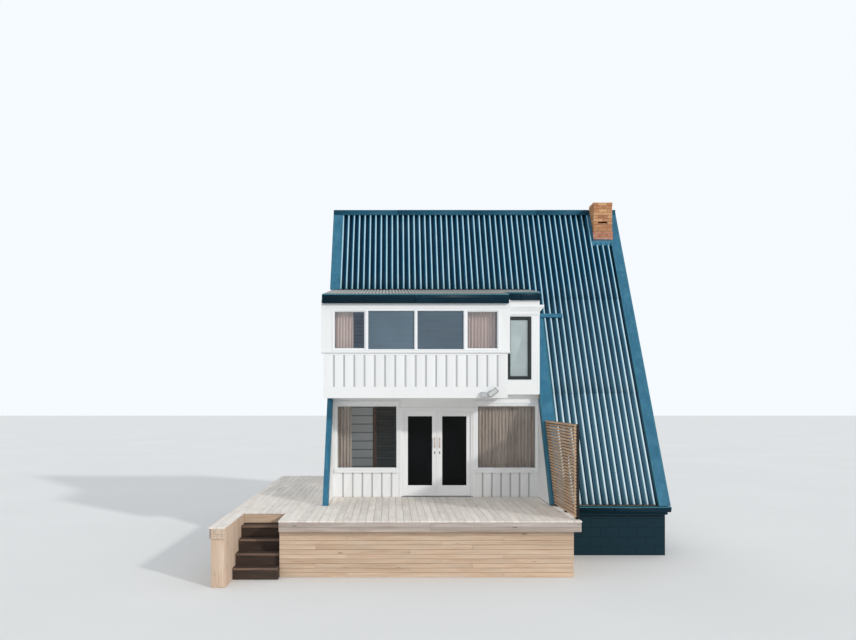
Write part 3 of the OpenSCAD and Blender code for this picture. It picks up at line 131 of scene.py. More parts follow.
class Look:
    """A node material round one shader, with short calls for the nodes it is built from."""

    def __init__(self, name, rough, **sockets):
        self.mat = LOOKS[name] = bpy.data.materials.new(name)
        self.mat.use_nodes = True
        self.tree = self.mat.node_tree
        self.set(Roughness=rough, **sockets)

    def set(self, **values):
        for name, value in values.items():
            self.put(self.tree.nodes["Principled BSDF"].inputs[name.replace("_", " ")], value)

    def put(self, socket, value):
        if isinstance(value, bpy.types.NodeSocket):
            self.tree.links.new(value, socket)
        else:
            socket.default_value = value

    def node(self, kind, ins=None, out=0, **props):
        n = self.tree.nodes.new("ShaderNode" + kind)
        for key, value in props.items():
            setattr(n, key, value)
        for key, value in (ins or {}).items():
            self.put(n.inputs[key], value)
        return n.outputs[out]

    def coords(self):
        return self.node("TexCoord", out="Object")

    def axes(self):
        return [self.node("SeparateXYZ", {0: self.coords()}, out=i) for i in range(3)]

    def join(self, x, y, z=0.0):
        return self.node("CombineXYZ", {0: x, 1: y, 2: z})

    def island(self):
        return self.node("NewGeometry", out="Random Per Island")

    def math(self, kind, a, b=0.0, c=0.0):
        return self.node("Math", {0: a, 1: b, 2: c}, operation=kind)

    def place(self, scale=1, shift=None, co=None):
        """Object coordinates, scaled; every board or tile takes its own part of the pattern."""
        co = self.coords() if co is None else co
        if shift:
            far = self.math("MULTIPLY", self.island(), shift)
            co = self.node("VectorMath", {0: co, 1: self.join(far, far, far)}, operation="ADD")
        scale = scale if hasattr(scale, "__len__") else (scale,) * 3
        return self.node("Mapping", {"Vector": co, "Scale": scale})

    def noise(self, scale, shift=None, by=1.0, detail=4.0, rough=0.55, distort=0.0, co=None):
        return self.node("TexNoise", {"Vector": self.place(scale, shift, co), "Scale": by, "Detail": detail,
                                      "Roughness": rough, "Distortion": distort}, out="Fac")

    def ramp(self, fac, stops):
        n = self.tree.nodes.new("ShaderNodeValToRGB")
        self.tree.links.new(fac, n.inputs["Fac"])
        parts = n.color_ramp.elements
        while len(parts) < len(stops):
            parts.new(0.5)
        for part, (pos, col) in zip(parts, stops):
            part.position = pos
            part.color = col if hasattr(col, "__len__") else (col, col, col, 1)
        return n.outputs["Color"]

    def mix(self, fac, a, b, blend="MIX"):
        return self.node("Mix", {0: fac, 6: a, 7: b}, 2, data_type="RGBA", blend_type=blend)

    def cover(self, under, over, fac, start, end, most):
        """One colour over another, from none where fac is at start to most of it at end."""
        return self.mix(self.ramp(fac, [(start, 0.0), (end, most)]), under, over)

    def bump(self, height, strength, distance):
        return self.node("Bump", {"Height": height, "Strength": strength, "Distance": distance})

    def vary(self, colour, amount, fac=None):
        """The colour made a little lighter or darker from piece to piece."""
        fac = self.island() if fac is None else fac
        tone = self.node("MapRange", {"Value": fac, "To Min": 1 - amount, "To Max": 1 + amount})
        return self.mix(1.0, colour, self.join(tone, tone, tone), "MULTIPLY")


def wood(name, light, dark, along, rough=0.7, vary=0.14, bump=0.35, stain=None):
    """Boards with the grain along one axis: fibres, wavy figure, knots and weathering."""
    m = Look(name, rough)
    dark = srgb(dark)
    fibres = m.noise(grain(along, 2.2, 90), 17, 1, 6, 0.7)
    figure = m.noise(grain(along, 0.7, 11), 31, 1, 5, 0.6, 0.6)
    both = m.math("MULTIPLY_ADD", figure, 0.65, m.math("MULTIPLY", fibres, 0.35))
    col = m.ramp(both, [(0.36, dark), (0.62, srgb(light))])
    cells = m.place(grain(along, 2.6, 11), 7)
    knots = m.node("TexVoronoi", {"Vector": cells, "Scale": 0.55}, out="Distance")
    col = m.mix(m.ramp(knots, [(0.03, 1.0), (0.10, 0.0)]), col, scaled(dark, 0.45))
    if stain:
        col = m.cover(col, srgb(stain), m.noise(0.9, 3, 1.4, 3), 0.45, 0.7, 0.55)
    m.set(Base_Color=m.vary(col, vary), Normal=m.bump(both, bump, 0.004),
          Roughness=m.ramp(fibres, [(0.3, rough + 0.12), (0.8, rough - 0.12)]))


def paint(name, colour, rough, amount, brush):
    """Brushed paint on timber, with faint brush marks, clouding and grime that has run down."""
    m = Look(name, rough)
    colour = srgb(colour)
    cloud = m.noise((0.55, 0.55, 0.35), 2, 1.6, 6, 0.6)
    runs = m.noise((7, 7, 0.35), 5, 1, 5, 0.6)
    col = m.cover(colour, m.mix(0.5, colour, GRIME), cloud, 0.42, 0.75, amount)
    col = m.cover(col, GRIME, runs, 0.56, 0.78, amount)
    m.set(Base_Color=m.vary(col, 0.03), Normal=m.bump(m.noise(grain(brush, 1.4, 38), 9), 0.12, 0.002),
          Roughness=m.ramp(cloud, [(0.3, rough - 0.08), (0.7, rough + 0.15)]))


def metal_paint(name, colour, rough, worn, amount, along=(5, 5, 0.5), gloss=0.25):
    """Painted sheet metal: slight oil-canning, chalked patches and streaks down the fall."""
    m = Look(name, rough, Specular_IOR_Level=gloss)
    colour = srgb(colour)
    patch = m.noise(2.2, 4, 1.3, 7, 0.66)
    runs = m.noise(along, 4, 1, 6, 0.65)
    col = m.cover(colour, srgb(worn), patch, 0.45, 0.72, amount)
    col = m.cover(col, scaled(colour, 0.45), runs, 0.5, 0.75, amount)
    m.set(Base_Color=m.vary(col, 0.06), Normal=m.bump(m.noise((1.5, 1.5, 0.9), None, 1, 2), 0.15, 0.03),
          Roughness=m.ramp(patch, [(0.3, rough), (0.75, rough + 0.25)]))


def sheet_paint(name, high, low, pitch, shift):
    """Painted corrugated sheets with light and shade painted across each rib: a painted highlight just past
    the crest on its +X side, painted shade over the trough, streaks and lichen.

    Each list of stops runs across one rib from trough to trough. Towards the eave the second list takes
    over: its highlight is whiter, and its trough and -X flank are paler, part chalked paint and part
    painted sky light.
    """
    m = Look(name, 0.45, Specular_IOR_Level=0.08)
    high, low = ([(pos, srgb(rgb)) for pos, rgb in stops] for stops in (high, low))

    def shaken(value, fac, by):
        """The value moved up and down with a noise."""
        return m.math("ADD", value, m.math("MULTIPLY", m.math("SUBTRACT", fac, 0.5), by))
    x, _, z = m.axes()
    streaks = m.noise((16, 0.9, 0.9), 6, 1, 6, 0.6)
    patch = m.noise(1.2, 9, 1, 6, 0.62)
    turns = m.math("MULTIPLY_ADD", x, 1 / pitch, 0.5 - shift / pitch)
    across = m.math("FRACT", shaken(turns, streaks, 0.1))
    foot = m.node("MapRange", {"Value": z, "From Min": 6.8, "From Max": 2.6})
    foot = m.node("Clamp", {"Value": shaken(foot, patch, 0.7)})
    col = m.mix(foot, m.ramp(across, high), m.ramp(across, low))
    col = m.cover(col, high[1][1], m.noise(26, None, 1, 3, 0.5), 0.70, 0.76, 0.35)
    m.set(Base_Color=m.vary(col, 0.06), Normal=m.bump(m.noise(7, None, 1, 5), 0.1, 0.006),
          Roughness=m.ramp(patch, [(0.3, 0.39), (0.75, 0.65)]))


def brick_look(name, tones):
    """Fired clay: a tone for each brick, gritty face, scorched and limed patches."""
    m = Look(name, 0.88)
    base = m.ramp(m.island(), [(i / (len(tones) - 1), srgb(c)) for i, c in enumerate(tones)])
    grit = m.noise(60, 3, 1, 6, 0.7)
    col = m.cover(base, srgb((120, 74, 52)), grit, 0.42, 0.7, 0.5)
    col = m.cover(col, srgb((226, 196, 160)), m.noise(9, 3), 0.5, 0.75, 0.4)
    m.set(Base_Color=col, Normal=m.bump(grit, 0.6, 0.004))


def grit_look(name, colour, dark, scale=45, rough=0.92, bump=0.5):
    """Mortar or rubber: sandy, with darker damp patches."""
    m = Look(name, rough)
    dark = srgb(dark)
    grit = m.noise(scale, None, 1, 6, 0.7)
    col = m.mix(m.ramp(grit, [(0.35, 0.35), (0.65, 0.0)]), srgb(colour), dark)
    col = m.cover(col, dark, m.noise(1.6, None, 1, 5), 0.45, 0.75, 0.4)
    m.set(Base_Color=col, Normal=m.bump(grit, bump, 0.004))


def block_look(name, colour, joint):
    """Painted blockwork: courses and upright joints under the paint."""
    m = Look(name, 0.62, Specular_IOR_Level=0.2)
    joint = srgb(joint)
    x, y, z = m.axes()
    wall = m.node("TexBrick", {"Vector": m.join(m.math("ADD", x, y), z), "Scale": 1.0, "Brick Width": 0.4,
                               "Row Height": 0.2, "Mortar Size": 0.008, "Mortar Smooth": 0.6,
                               "Color1": (1, 1, 1, 1), "Color2": (0.86, 0.86, 0.86, 1),
                               "Mortar": (0.2, 0.2, 0.2, 1)})
    grit = m.noise(30, None, 1, 6, 0.7)
    col = m.mix(m.ramp(wall, [(0.3, 1.0), (0.8, 0.0)]), srgb(colour), joint)
    col = m.cover(col, joint, grit, 0.5, 0.75, 0.35)
    height = m.math("ADD", wall, m.math("MULTIPLY", grit, 0.3))
    m.set(Base_Color=col, Normal=m.bump(height, 0.5, 0.006))


def board_lining(name, light, dark, across, width):
    """Lining or flooring boards laid side by side on a slab; across is the axis they repeat on."""
    m = Look(name, 0.55)
    dark = srgb(dark)
    row = m.math("DIVIDE", m.axes()[across], width)
    number = m.math("FLOOR", row)
    each = m.node("TexWhiteNoise", {"W": number}, out="Value", noise_dimensions="1D")
    off_middle = m.math("ABSOLUTE", m.math("SUBTRACT", m.math("FRACT", row), 0.5))
    groove = m.ramp(off_middle, [(0.455, 0.0), (0.49, 1.0)])
    far = m.math("MULTIPLY", number, 3.7)
    moved = m.node("VectorMath", {0: m.coords(), 1: m.join(far, far)}, operation="ADD")
    fibre = m.noise(grain(0, 1.2, 40), None, 1, 6, 0.65, co=moved)
    col = m.vary(m.ramp(fibre, [(0.35, dark), (0.65, srgb(light))]), 0.1, each)
    deep = m.math("SUBTRACT", m.math("MULTIPLY", fibre, 0.15), groove)
    m.set(Base_Color=m.mix(groove, col, scaled(dark, 0.3)), Normal=m.bump(deep, 0.5, 0.004))


def glass_look(name, colour, solid, rough=0.03, ior=1.45, lift=1.5):
    """Window glass: a colour laid over it at the given opacity, on the panes a painted reflection, with a
    film of salt and dust, float waves and a clear reflection.
    """
    m = Look(name, rough, IOR=ior, Alpha=solid)
    colour = srgb(colour)
    haze = m.noise(1.1, 3, 1, 3)
    col = m.cover(colour, scaled(colour, lift), haze, 0.4, 0.7, 0.5)
    m.set(Base_Color=m.vary(col, 0.12), Normal=m.bump(haze, 0.02, 0.02))


def cloth_look(name, light, dark):
    """Curtain cloth: a plain weave, slubs, and sun-faded folds."""
    m = Look(name, 0.9, Sheen_Weight=0.25)
    warp, weft = (m.node("TexWave", {"Vector": m.place(), "Scale": 160, "Distortion": 1.5}, out="Fac",
                         bands_direction=way) for way in "XZ")
    slub, fade = m.noise((60, 60, 3)), m.noise((3, 3, 0.4), None, 1, 3)
    col = m.ramp(m.math("MULTIPLY_ADD", slub, 0.5, m.math("MULTIPLY", fade, 0.5)),
                 [(0.38, srgb(dark)), (0.62, srgb(light))])
    m.set(Base_Color=col, Normal=m.bump(m.math("MULTIPLY", warp, weft), 0.25, 0.002))


def bare_metal(name, colour, rough=0.4):
    """Brushed metal with dull spots."""
    m = Look(name, rough, Metallic=0.9)
    colour = srgb(colour)
    spots = m.noise(14, 2, 1, 5)
    m.set(Base_Color=m.cover(colour, scaled(colour, 0.55), spots, 0.5, 0.8, 0.5),
          Roughness=m.ramp(spots, [(0.3, rough), (0.8, rough + 0.3)]),
          Normal=m.bump(m.noise((220, 220, 8), None, 1, 3), 0.1, 0.001))


PITCH, SHIFT = 0.146, 0.1
SMALL_PITCH = 0.076
# Across each rib: a pale painted highlight on the crest's +X side and dark painted shade in the trough;
# lower down the trough and -X flank are paler, part chalked paint and part painted sky light.
RIB_SHADE, RIB_HIGHLIGHT, CHALK_AND_SKYLIGHT, EAVE_RIB_HIGHLIGHT = (0, 30, 48), (178, 214, 226), (54, 92, 112), (212, 230, 236)
HIGH_RIB = [(0.0, RIB_SHADE), (0.22, (0, 58, 84)), (0.44, (10, 98, 132)), (0.51, RIB_HIGHLIGHT), (0.64, RIB_HIGHLIGHT),
            (0.72, (4, 52, 82)), (0.81, RIB_SHADE)]
LOW_RIB = [(0.0, CHALK_AND_SKYLIGHT), (0.24, (78, 120, 140)), (0.42, (112, 152, 170)), (0.49, EAVE_RIB_HIGHLIGHT), (0.66, EAVE_RIB_HIGHLIGHT),
           (0.73, (10, 58, 86)), (0.79, RIB_SHADE), (0.91, RIB_SHADE), (1.0, CHALK_AND_SKYLIGHT)]
# The low sheets are lighter at the crest and on its +X side and darker in the trough: painted highlight and
# painted shade.
PALE_RIB = [(0.0, (128, 127, 122)), (0.3, (160, 160, 155)), (0.5, (188, 188, 184)), (0.68, (180, 180, 176)),
            (1.0, (128, 127, 122))]
block_look("base_paint", (8, 44, 56), (3, 26, 34))
metal_paint("skirt_paint", (10, 48, 62), 0.6, (26, 70, 86), 0.25, gloss=0.15)
board_lining("lining_wood", (214, 198, 170), (176, 150, 116), 2, 0.1)
board_lining("floor_wood", (150, 112, 78), (100, 70, 46), 1, 0.13)
sheet_paint("roof_sheet", HIGH_RIB, LOW_RIB, PITCH, SHIFT)
sheet_paint("roof_sheet_back", HIGH_RIB, LOW_RIB, PITCH, -SHIFT)
sheet_paint("low_sheet", PALE_RIB, PALE_RIB, SMALL_PITCH, 0.0)
metal_paint("flashing", (46, 108, 136), 0.4, (92, 152, 176), 0.4)
metal_paint("ridge", (28, 86, 110), 0.45, (58, 116, 140), 0.2, (0.6, 5, 5), 0.15)
metal_paint("gutter", (3, 38, 52), 0.35, (16, 64, 80), 0.3, (6, 6, 0.8), 0.15)
# A lighter paint on the gutters' beads and the flashing's folds: a painted highlight along these rounded
# edges.
metal_paint("gutter_bead", (60, 128, 146), 0.35, (110, 168, 180), 0.3)
metal_paint("dark_frame", (42, 48, 50), 0.35, (74, 80, 82), 0.25)
metal_paint("screen_metal", (30, 28, 27), 0.5, (62, 56, 52), 0.3)
paint("white_board", (243, 244, 244), 0.5, 0.09, 2)
paint("white_frame", (245, 246, 246), 0.3, 0.06, 0)
# Grey for the floors of the board grooves: painted shade.
paint("groove_paint", (190, 192, 195), 0.7, 0.15, 2)
paint("lap_shade", (156, 158, 158), 0.8, 0.15, 0)
paint("inner_board", (246, 248, 248), 0.6, 0.1, 0)
# The glass colours are painted reflections: blue-grey sky on the upper panes, light grey sky and highlight
# on the bay, near-black for the shaded recess on the doors.
glass_look("window_glass", (112, 134, 150), 0.45)
glass_look("clear_glass", (96, 106, 110), 0.1)
glass_look("bay_glass", (178, 190, 191), 0.8)
glass_look("casement_glass", (112, 132, 154), 0.17)
glass_look("door_glass", (7, 9, 10), 0.86, ior=1.2, lift=4)
glass_look("lens", (210, 212, 206), 0.8, 0.15, 1.5)
brick_look("brick", [(170, 112, 78), (205, 150, 104), (190, 130, 88), (222, 170, 122), (214, 160, 116)])
brick_look("brick_low", [(150, 92, 74), (186, 120, 98), (200, 138, 114), (172, 106, 86)])
grit_look("mortar", (168, 142, 112), (112, 92, 72))
grit_look("rubber", (34, 34, 34), (20, 20, 20), 90, 0.8, 0.2)
wood("deck_wood", (248, 241, 233), (226, 216, 206), 1, 0.8, 0.06, 0.4, (214, 207, 198))
wood("frame_wood", (152, 128, 100), (104, 82, 60), 0, 0.72)
for end, axis in (("wood", 0), ("side", 1)):
    wood("fascia_" + end, (206, 193, 184), (160, 146, 138), axis, 0.8, 0.07, 0.4, (180, 170, 162))
    wood("clad_" + end, (222, 196, 170), (188, 157, 130), axis, 0.8, 0.07, 0.4, (200, 182, 162))
for end, axis in (("low", 0), ("low_side", 1)):
    wood("fascia_" + end, (198, 183, 172), (150, 135, 124), axis, 0.8, 0.07, 0.4, (172, 160, 150))
wood("wall_wood", (224, 200, 178), (188, 160, 136), 2, 0.8, 0.07, 0.4, (198, 182, 164))
# The stairs' wood is darker than the deck's: partly its own brown, partly painted shade, as the stairs lie
# in shade.
wood("stair_wood", (72, 54, 41), (42, 31, 24), 0, vary=0.12)
wood("nosing_wood", (134, 108, 92), (94, 74, 62), 0, vary=0.1)
wood("post_wood", (158, 100, 60), (104, 62, 36), 2, 0.72)
wood("slat_wood", (216, 182, 148), (172, 138, 108), 1, stain=(150, 132, 112))
wood("batten_wood", (226, 194, 160), (184, 148, 114), 2, vary=0.1)
cloth_look("curtain", (250, 229, 214), (224, 198, 182))
cloth_look("curtain_dark", (214, 200, 188), (164, 148, 136))
bare_metal("pull_metal", (198, 166, 144), 0.34)
bare_metal("lamp_metal", (188, 190, 192), 0.42)
bare_metal("steel", (150, 152, 152))


# Shapes
class Shape:
    """Vertices and faces gathered into one piece; each box or strip is an island of its own."""

    def __init__(self):
        self.v, self.f, self.m = [], [], []

    def add(self, pts, faces, mat=0, place=None):
        base = len(self.v)
        self.v += [tuple(place @ Vector(p)) if place else tuple(p) for p in pts]
        self.f += [[base + i for i in face] for face in faces]
        self.m += [mat] * len(faces)

    def box(self, lo, hi, c=0.002, mat=0, place=None):
        """A box with chamfered edges: each corner has a point for each face that meets there."""
        ends = [sorted(pair) for pair in zip(lo, hi)]
        c = min([c] + [(b - a) * 0.45 for a, b in ends])
        corners = list(product((0, 1), repeat=3))
        key = {(s, axis): 3 * i + axis for i, s in enumerate(corners) for axis in range(3)}
        pts = [[ends[k][s[k]] + (0 if k == axis else c - 2 * c * s[k]) for k in range(3)]
               for s in corners for axis in range(3)]
        faces = []
        for axis in range(3):
            a, b = [k for k in range(3) if k != axis]

            def corner(side, pa, pb):
                s = [0, 0, 0]
                s[axis], s[a], s[b] = side, pa, pb
                return tuple(s)
            faces += [[key[corner(side, pa, pb), axis] for pa, pb in ((0, 0), (1, 0), (1, 1), (0, 1))]
                      for side in (0, 1)]
            # The chamfers along this axis
            for pa, pb in product((0, 1), repeat=2):
                s0, s1 = corner(0, pa, pb), corner(1, pa, pb)
                faces.append([key[s0, a], key[s1, a], key[s1, b], key[s0, b]])
        faces += [[key[s, 0], key[s, 1], key[s, 2]] for s in set(corners)]
        self.add(pts, faces, mat, place)

    def grid(self, rows, mat=0, place=None, skip=None, closed=False, caps=False):
        """Rows of points joined by quads, closed into rings and capped at the ends if asked."""
        w, last = len(rows[0]), len(rows) - 1
        faces = [[j * w + i, j * w + (i + 1) % w, (j + 1) * w + (i + 1) % w, (j + 1) * w + i]
                 for j in range(last) for i in range(w if closed else w - 1) if not (skip and skip(j, i))]
        if caps:
            faces += [list(range(w))[::-1], list(range(last * w, (last + 1) * w))]
        self.add([p for row in rows for p in row], faces, mat, place)

    def prism(self, prof, a, b, axis=0, mat=0, place=None):
        """A closed outline carried along an axis."""
        rows = [[list(p[:axis]) + [t] + list(p[axis:]) for p in prof] for t in (a, b)]
        self.grid(rows, mat, place, closed=True, caps=True)

    def rod(self, p0, p1, r, n=12, mat=0, place=None, dome=0.0):
        """A round bar, its far end domed if asked."""
        p0, p1 = Vector(p0), Vector(p1)
        way = (p1 - p0).normalized()
        side = way.orthogonal().normalized()
        up = way.cross(side)
        rings = [(p0, r * 0.94), (p0 + way * r * 0.1, r)]
        if dome:
            rings += [(p1 + way * dome * math.sin(t), r * math.cos(t)) for t in (0, 0.6, 1.15)]
        else:
            rings += [(p1 - way * r * 0.1, r), (p1, r * 0.94)]
        turns = [2 * math.pi * i / n for i in range(n)]
        rows = [[c + (side * math.cos(t) + up * math.sin(t)) * far for t in turns] for c, far in rings]
        self.grid(rows, mat, place, closed=True, caps=True)

    def make(self, name, looks, slot=None, replaces=(), body="house", smooth=None, solid=None):
        mesh = bpy.data.meshes.new(name)
        mesh.from_pydata(self.v, [], self.f)
        looks = [looks] if isinstance(looks, str) else looks
        for look in looks:
            mesh.materials.append(LOOKS[look])
        mesh.polygons.foreach_set("material_index", self.m)
        b = bmesh.new()
        b.from_mesh(mesh)
        loose = [v for v in b.verts if not v.link_faces]
        bmesh.ops.delete(b, geom=loose, context="VERTS")
        if not solid:
            bmesh.ops.recalc_face_normals(b, faces=b.faces)
        b.to_mesh(mesh)
        b.free()
        o = bpy.data.objects.new(name, mesh)
        bpy.context.scene.collection.objects.link(o)
        if smooth is not None:
            mesh.polygons.foreach_set("use_smooth", [True] * len(mesh.polygons))
            mesh.set_sharp_from_angle(angle=math.radians(smooth))
        if solid:
            mod = o.modifiers.new("sheet", "SOLIDIFY")
            mod.thickness, mod.offset = solid
        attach(o, body)
        if replaces:
            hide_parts(*replaces)
        return o


# The frame's planes
FLOOR, CEILING, UPPER = 1.1, 3.44, 3.69
APEX, HALF = 8.5, 3.81
SP, CP = math.sin(math.radians(60)), math.cos(math.radians(60))
EAVE = FLOOR + 0.03
RECESS_RIGHT, BOX_RIGHT = 1.23, 0.332
STACK_LEFT, STACK_RIGHT = 3.0842, 3.6192
FLASH, PLATE = 0.0075, 0.0016
UPRIGHT_BOARD = 0.227
# The gap that keeps two faces out of one plane
HAIR = 0.0003
FRONT = Matrix.Translation((0, 0, APEX)) @ Matrix.Rotation(math.radians(60), 4, "X")
BACK = Matrix.Rotation(math.pi, 4, "Z") @ FRONT
LOW_PITCH = math.radians(9.7)
DEPTH, THICK, LAP_RISE = 0.048, 0.006, 0.0062

# A kind of sheet: pitch, depth, thickness, cover width, lap, and how uneven its ends are
DEEP_SHEET = (PITCH, DEPTH, THICK, 7 * PITCH, PITCH * 0.5, 0.004)
SMALL_SHEET = (SMALL_PITCH, 0.016, 0.002, 0.76, 0.057, 0.002)


def slope_u(z):
    """How far down the slope a height lies."""
    return (APEX - z) / SP


def lo(name):
    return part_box(name)[0]


def hi(name):
    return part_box(name)[1]


LOW_EAVE_Z = 5.745
LOW_EAVE = Vector((0, lo("low_roof_sheets")[1], LOW_EAVE_Z))
LOW = Matrix.Translation(LOW_EAVE) @ Matrix.Rotation(LOW_PITCH, 4, "X")
ROW_TOP = (0.054 * SP + 0.002) / CP
U_HIGH, U_LOW = slope_u(CEILING + 2.51), slope_u(CEILING + 0.125)


def rib(x, pitch, depth, shift):
    return -depth * (1 - math.cos(2 * math.pi * (x - shift) / pitch)) / 2


def sheet_rows(shape, place, x0, x1, rows, shift, kind=DEEP_SHEET, steps=5, notch=None):
    """Sheets side by side in rows, each lying over its neighbour's edge by the lap."""
    pitch, depth, t, cover, lap, ragged = kind
    for u0, u1, lift in rows:
        at = x0
        while at < x1 - 0.02:
            end = min(at + cover, x1)
            first, last = at == x0, end == x1
            a = at if first else at - lap
            n = max(4, round((end - a) / pitch * 10))
            tilt, slip = RNG.uniform(-0.0008, 0.0008), RNG.uniform(-ragged, ragged)
            us = [u0 + (u1 + slip - u0) * k / steps for k in range(steps + 1)]
            if notch and a < notch[1] and end > notch[0]:
                us = sorted(set(us) | {notch[2]})
            xs = [a + (end - a) * i / n for i in range(n + 1)]
            grid = []
            for u in us:
                row = []
                for x in xs:
                    over = 0 if first else max(0.0, 1 - (x - a) / (lap * 1.6)) ** 2 * t * 0.45
                    under = 0 if last else max(0.0, 1 - (end - x) / (lap * 1.6)) ** 2 * t * 0.45
                    sag = 0.0011 * noise.noise((x * 1.3, u * 0.9, u0 * 7 + lift * 900))
                    h = rib(x, pitch, depth, shift) + lift * (u - u0) / (u1 - u0)
                    row.append((x, -u, h + over - under + sag + tilt - 0.0006))
                grid.append(row)

            def cut(j, i):
                mid = (xs[i] + xs[i + 1]) / 2
                return notch and notch[0] < mid < notch[1] and us[j + 1] <= notch[2] + 1e-6
            shape.grid(grid, 0, place, cut)
            at = end


def screws(shape, place, xs, us, n=0.0, r=0.011):
    """Domed screws with washers, on a surface n above the slope's plane."""
    for u in us:
        for x in xs:
            shape.rod((x, -u, n - 0.004), (x, -u, n + 0.003), r, 10, 0, place)
            shape.rod((x, -u, n + 0.002), (x, -u, n + 0.006), r * 0.55, 8, 0, place, 0.004)


def crests(x0, x1, shift=SHIFT, every=3):
    first, last = math.ceil((x0 - shift) / PITCH), math.floor((x1 - shift) / PITCH)
    return [shift + PITCH * i for i in range(first, last + 1) if (i - first) % every == 1]


def main_sheets():
    """The upper slope's sheets end above the low roof; the right and back ones run on in three rows."""
    left, right, mid, lap = -3.78725, 3.7865, 1.2315, 0.15
    three = [(ROW_TOP, U_HIGH, LAP_RISE), (U_HIGH - lap, U_LOW, LAP_RISE), (U_LOW - lap, slope_u(EAVE), 0)]
    upper_end = slope_u(lo("roof_sheets_upper")[2])
    for name, look, place, x0, x1, rows, shift, notch in (
            ("upper", "roof_sheet", FRONT, left, mid, [(ROW_TOP, upper_end, 0)], SHIFT, None),
            ("right", "roof_sheet", FRONT, mid, right, three, SHIFT, (STACK_LEFT, STACK_RIGHT, 1.03)),
            ("back", "roof_sheet_back", BACK, -right, -left, three, -SHIFT, None)):
        s = Shape()
        sheet_rows(s, place, x0, x1, rows, shift, notch=notch)
        s.make("sheets_" + name, look, "roof_sheet", ["roof_sheets_" + name], smooth=50, solid=(THICK, -1))
    s = Shape()
    rows = [0.32, 1.25, 2.2, U_HIGH - 0.06]
    low_rows = [3.95, 4.9, U_LOW - 0.06, 6.8, 7.75, slope_u(EAVE) - 0.09]
    screws(s, FRONT, crests(-3.5, 1.2), [0.32, 1.25, upper_end - 0.1])
    for u in rows:
        screws(s, FRONT, crests(1.6, 3.0), [u], LAP_RISE * u / U_HIGH)
    screws(s, FRONT, crests(1.6, 3.5), low_rows)
    screws(s, FRONT, crests(3.0, 3.5), rows[1:])
    screws(s, BACK, crests(-3.5, 3.5, -SHIFT), rows + low_rows)
    s.make("roof_screws", "flashing", smooth=40)


def low_sheets():
    x0 = lo("low_roof_sheets")[0]
    end = (hi("low_roof_sheets")[1] - LOW_EAVE[1]) / math.cos(LOW_PITCH)
    bay = (lo("bay_walls")[1] - lo("parapet")[1]) / math.cos(LOW_PITCH)
    s = Shape()
    sheet_rows(s, LOW, x0, BOX_RIGHT, [(-end, 0, 0)], 0, SMALL_SHEET, 4)
    sheet_rows(s, LOW, BOX_RIGHT + HAIR, RECESS_RIGHT, [(-end, -bay, 0)], 0, SMALL_SHEET, 3)
    s.make("low_sheets", "low_sheet", None, ["low_roof_sheets"], smooth=50, solid=(PLATE, -1))
    s = Shape()
    xs = [SMALL_PITCH * k for k in range(-48, 16, 3)]
    for u in (0.12, 0.95, 1.75, 2.45):
        screws(s, LOW, [x for x in xs if x < (0.3 if u < bay else 1.2)], [-u], r=0.009)
    s.make("low_screws", "steel", smooth=40)


def ridge():
    """The ridge cap: two wings and a roll, in lapped lengths, cut round the stack."""
    s = Shape()
    n0, wing, roll, step = 0.0125, 0.125, 0.034, 0.0022

    def outline(grow, front):
        top, base = n0 + grow, roll + grow
        half = [(-w * CP - n * SP, -w * SP + n * CP) for w, n in
                ((wing + 0.001, top - 0.012), (wing, top), (0.036, top))]
        turns = [math.radians(a) for a in (108, 84, 60, 36, 12)]
        half += [(-math.sin(a) * base, math.cos(a) * base + 0.014) for a in turns]
        return [(y, z + APEX) for y, z in (half if front else []) + [(-y, z) for y, z in reversed(half)]]
    joints = [-HALF, -2.0, -0.1, 1.75, STACK_LEFT]
    lengths = [(a - (0.08 if k else 0), b, True, step if k % 2 else 0.0)
               for k, (a, b) in enumerate(zip(joints, joints[1:]))]
    lengths += [(STACK_LEFT, STACK_RIGHT, False, 0.0), (STACK_RIGHT, HALF, True, step)]
    for x0, x1, front, grow in lengths:
        s.grid([[(x, y, z) for y, z in outline(grow, front)] for x in (x0, x1)])
    s.make("ridge_capping", "ridge", "flashing", ["ridge_cap"], smooth=35, solid=(PLATE, -1))
    s = Shape()
    for place, xs in ((FRONT, crests(-3.4, 2.9, SHIFT, 2)), (BACK, crests(-3.4, 3.4, -SHIFT, 2))):
        screws(s, place, xs, [0.095], n0 + 0.002)
    s.make("ridge_screws", "steel", smooth=40)


def apron():
    """The moulded skirt below the stack: flat at the upstand, dressed into the ribs at its foot."""
    x0, x1 = lo("stack_apron")[0], hi("stack_apron")[0]
    s = Shape()
    u0, u1, strip_x = 1.02, 1.175, 3.092
    n = round((x1 - x0) / PITCH * 12)
    rows = []
    for k in range(9):
        t = k / 8
        ease = max(0.0, t - 0.25) / 0.75
        ease = ease * ease * (3 - 2 * ease)
        row = []
        for i in range(n + 1):
            x = x0 + (x1 - x0) * i / n
            u = u0 + (u1 - u0) * t + 0.004 * math.sin(9 * x) * t
            row.append((x, -u, 0.0085 + rib(x, PITCH, DEPTH, SHIFT) * 0.9 * ease))
        rows.append(row)
    s.grid(rows, 0, FRONT)
    # The strip up the left side, with a raised edge
    strip = [(-0.045, 0.006), (-0.042, 0.0145), (-0.036, 0.0105), (-0.004, 0.0105), (-0.0012, 0.05)]
    s.grid([[(strip_x + a, -u, h) for a, h in strip] for u in (0.09, 0.5, 1.03)], 0, FRONT)
    z = APEX - (0.5034 * SP - FLASH) / CP
    up = [(-0.5037, z + 0.012), (-0.5046, z + 0.003), (-0.513, z - 0.006)]
    s.grid([[(x, y, h) for y, h in up] for x in (strip_x, x1)])
    s.make("stack_flashing", "flashing", None, ["stack_apron"], smooth=50, solid=(0.0022, -1))


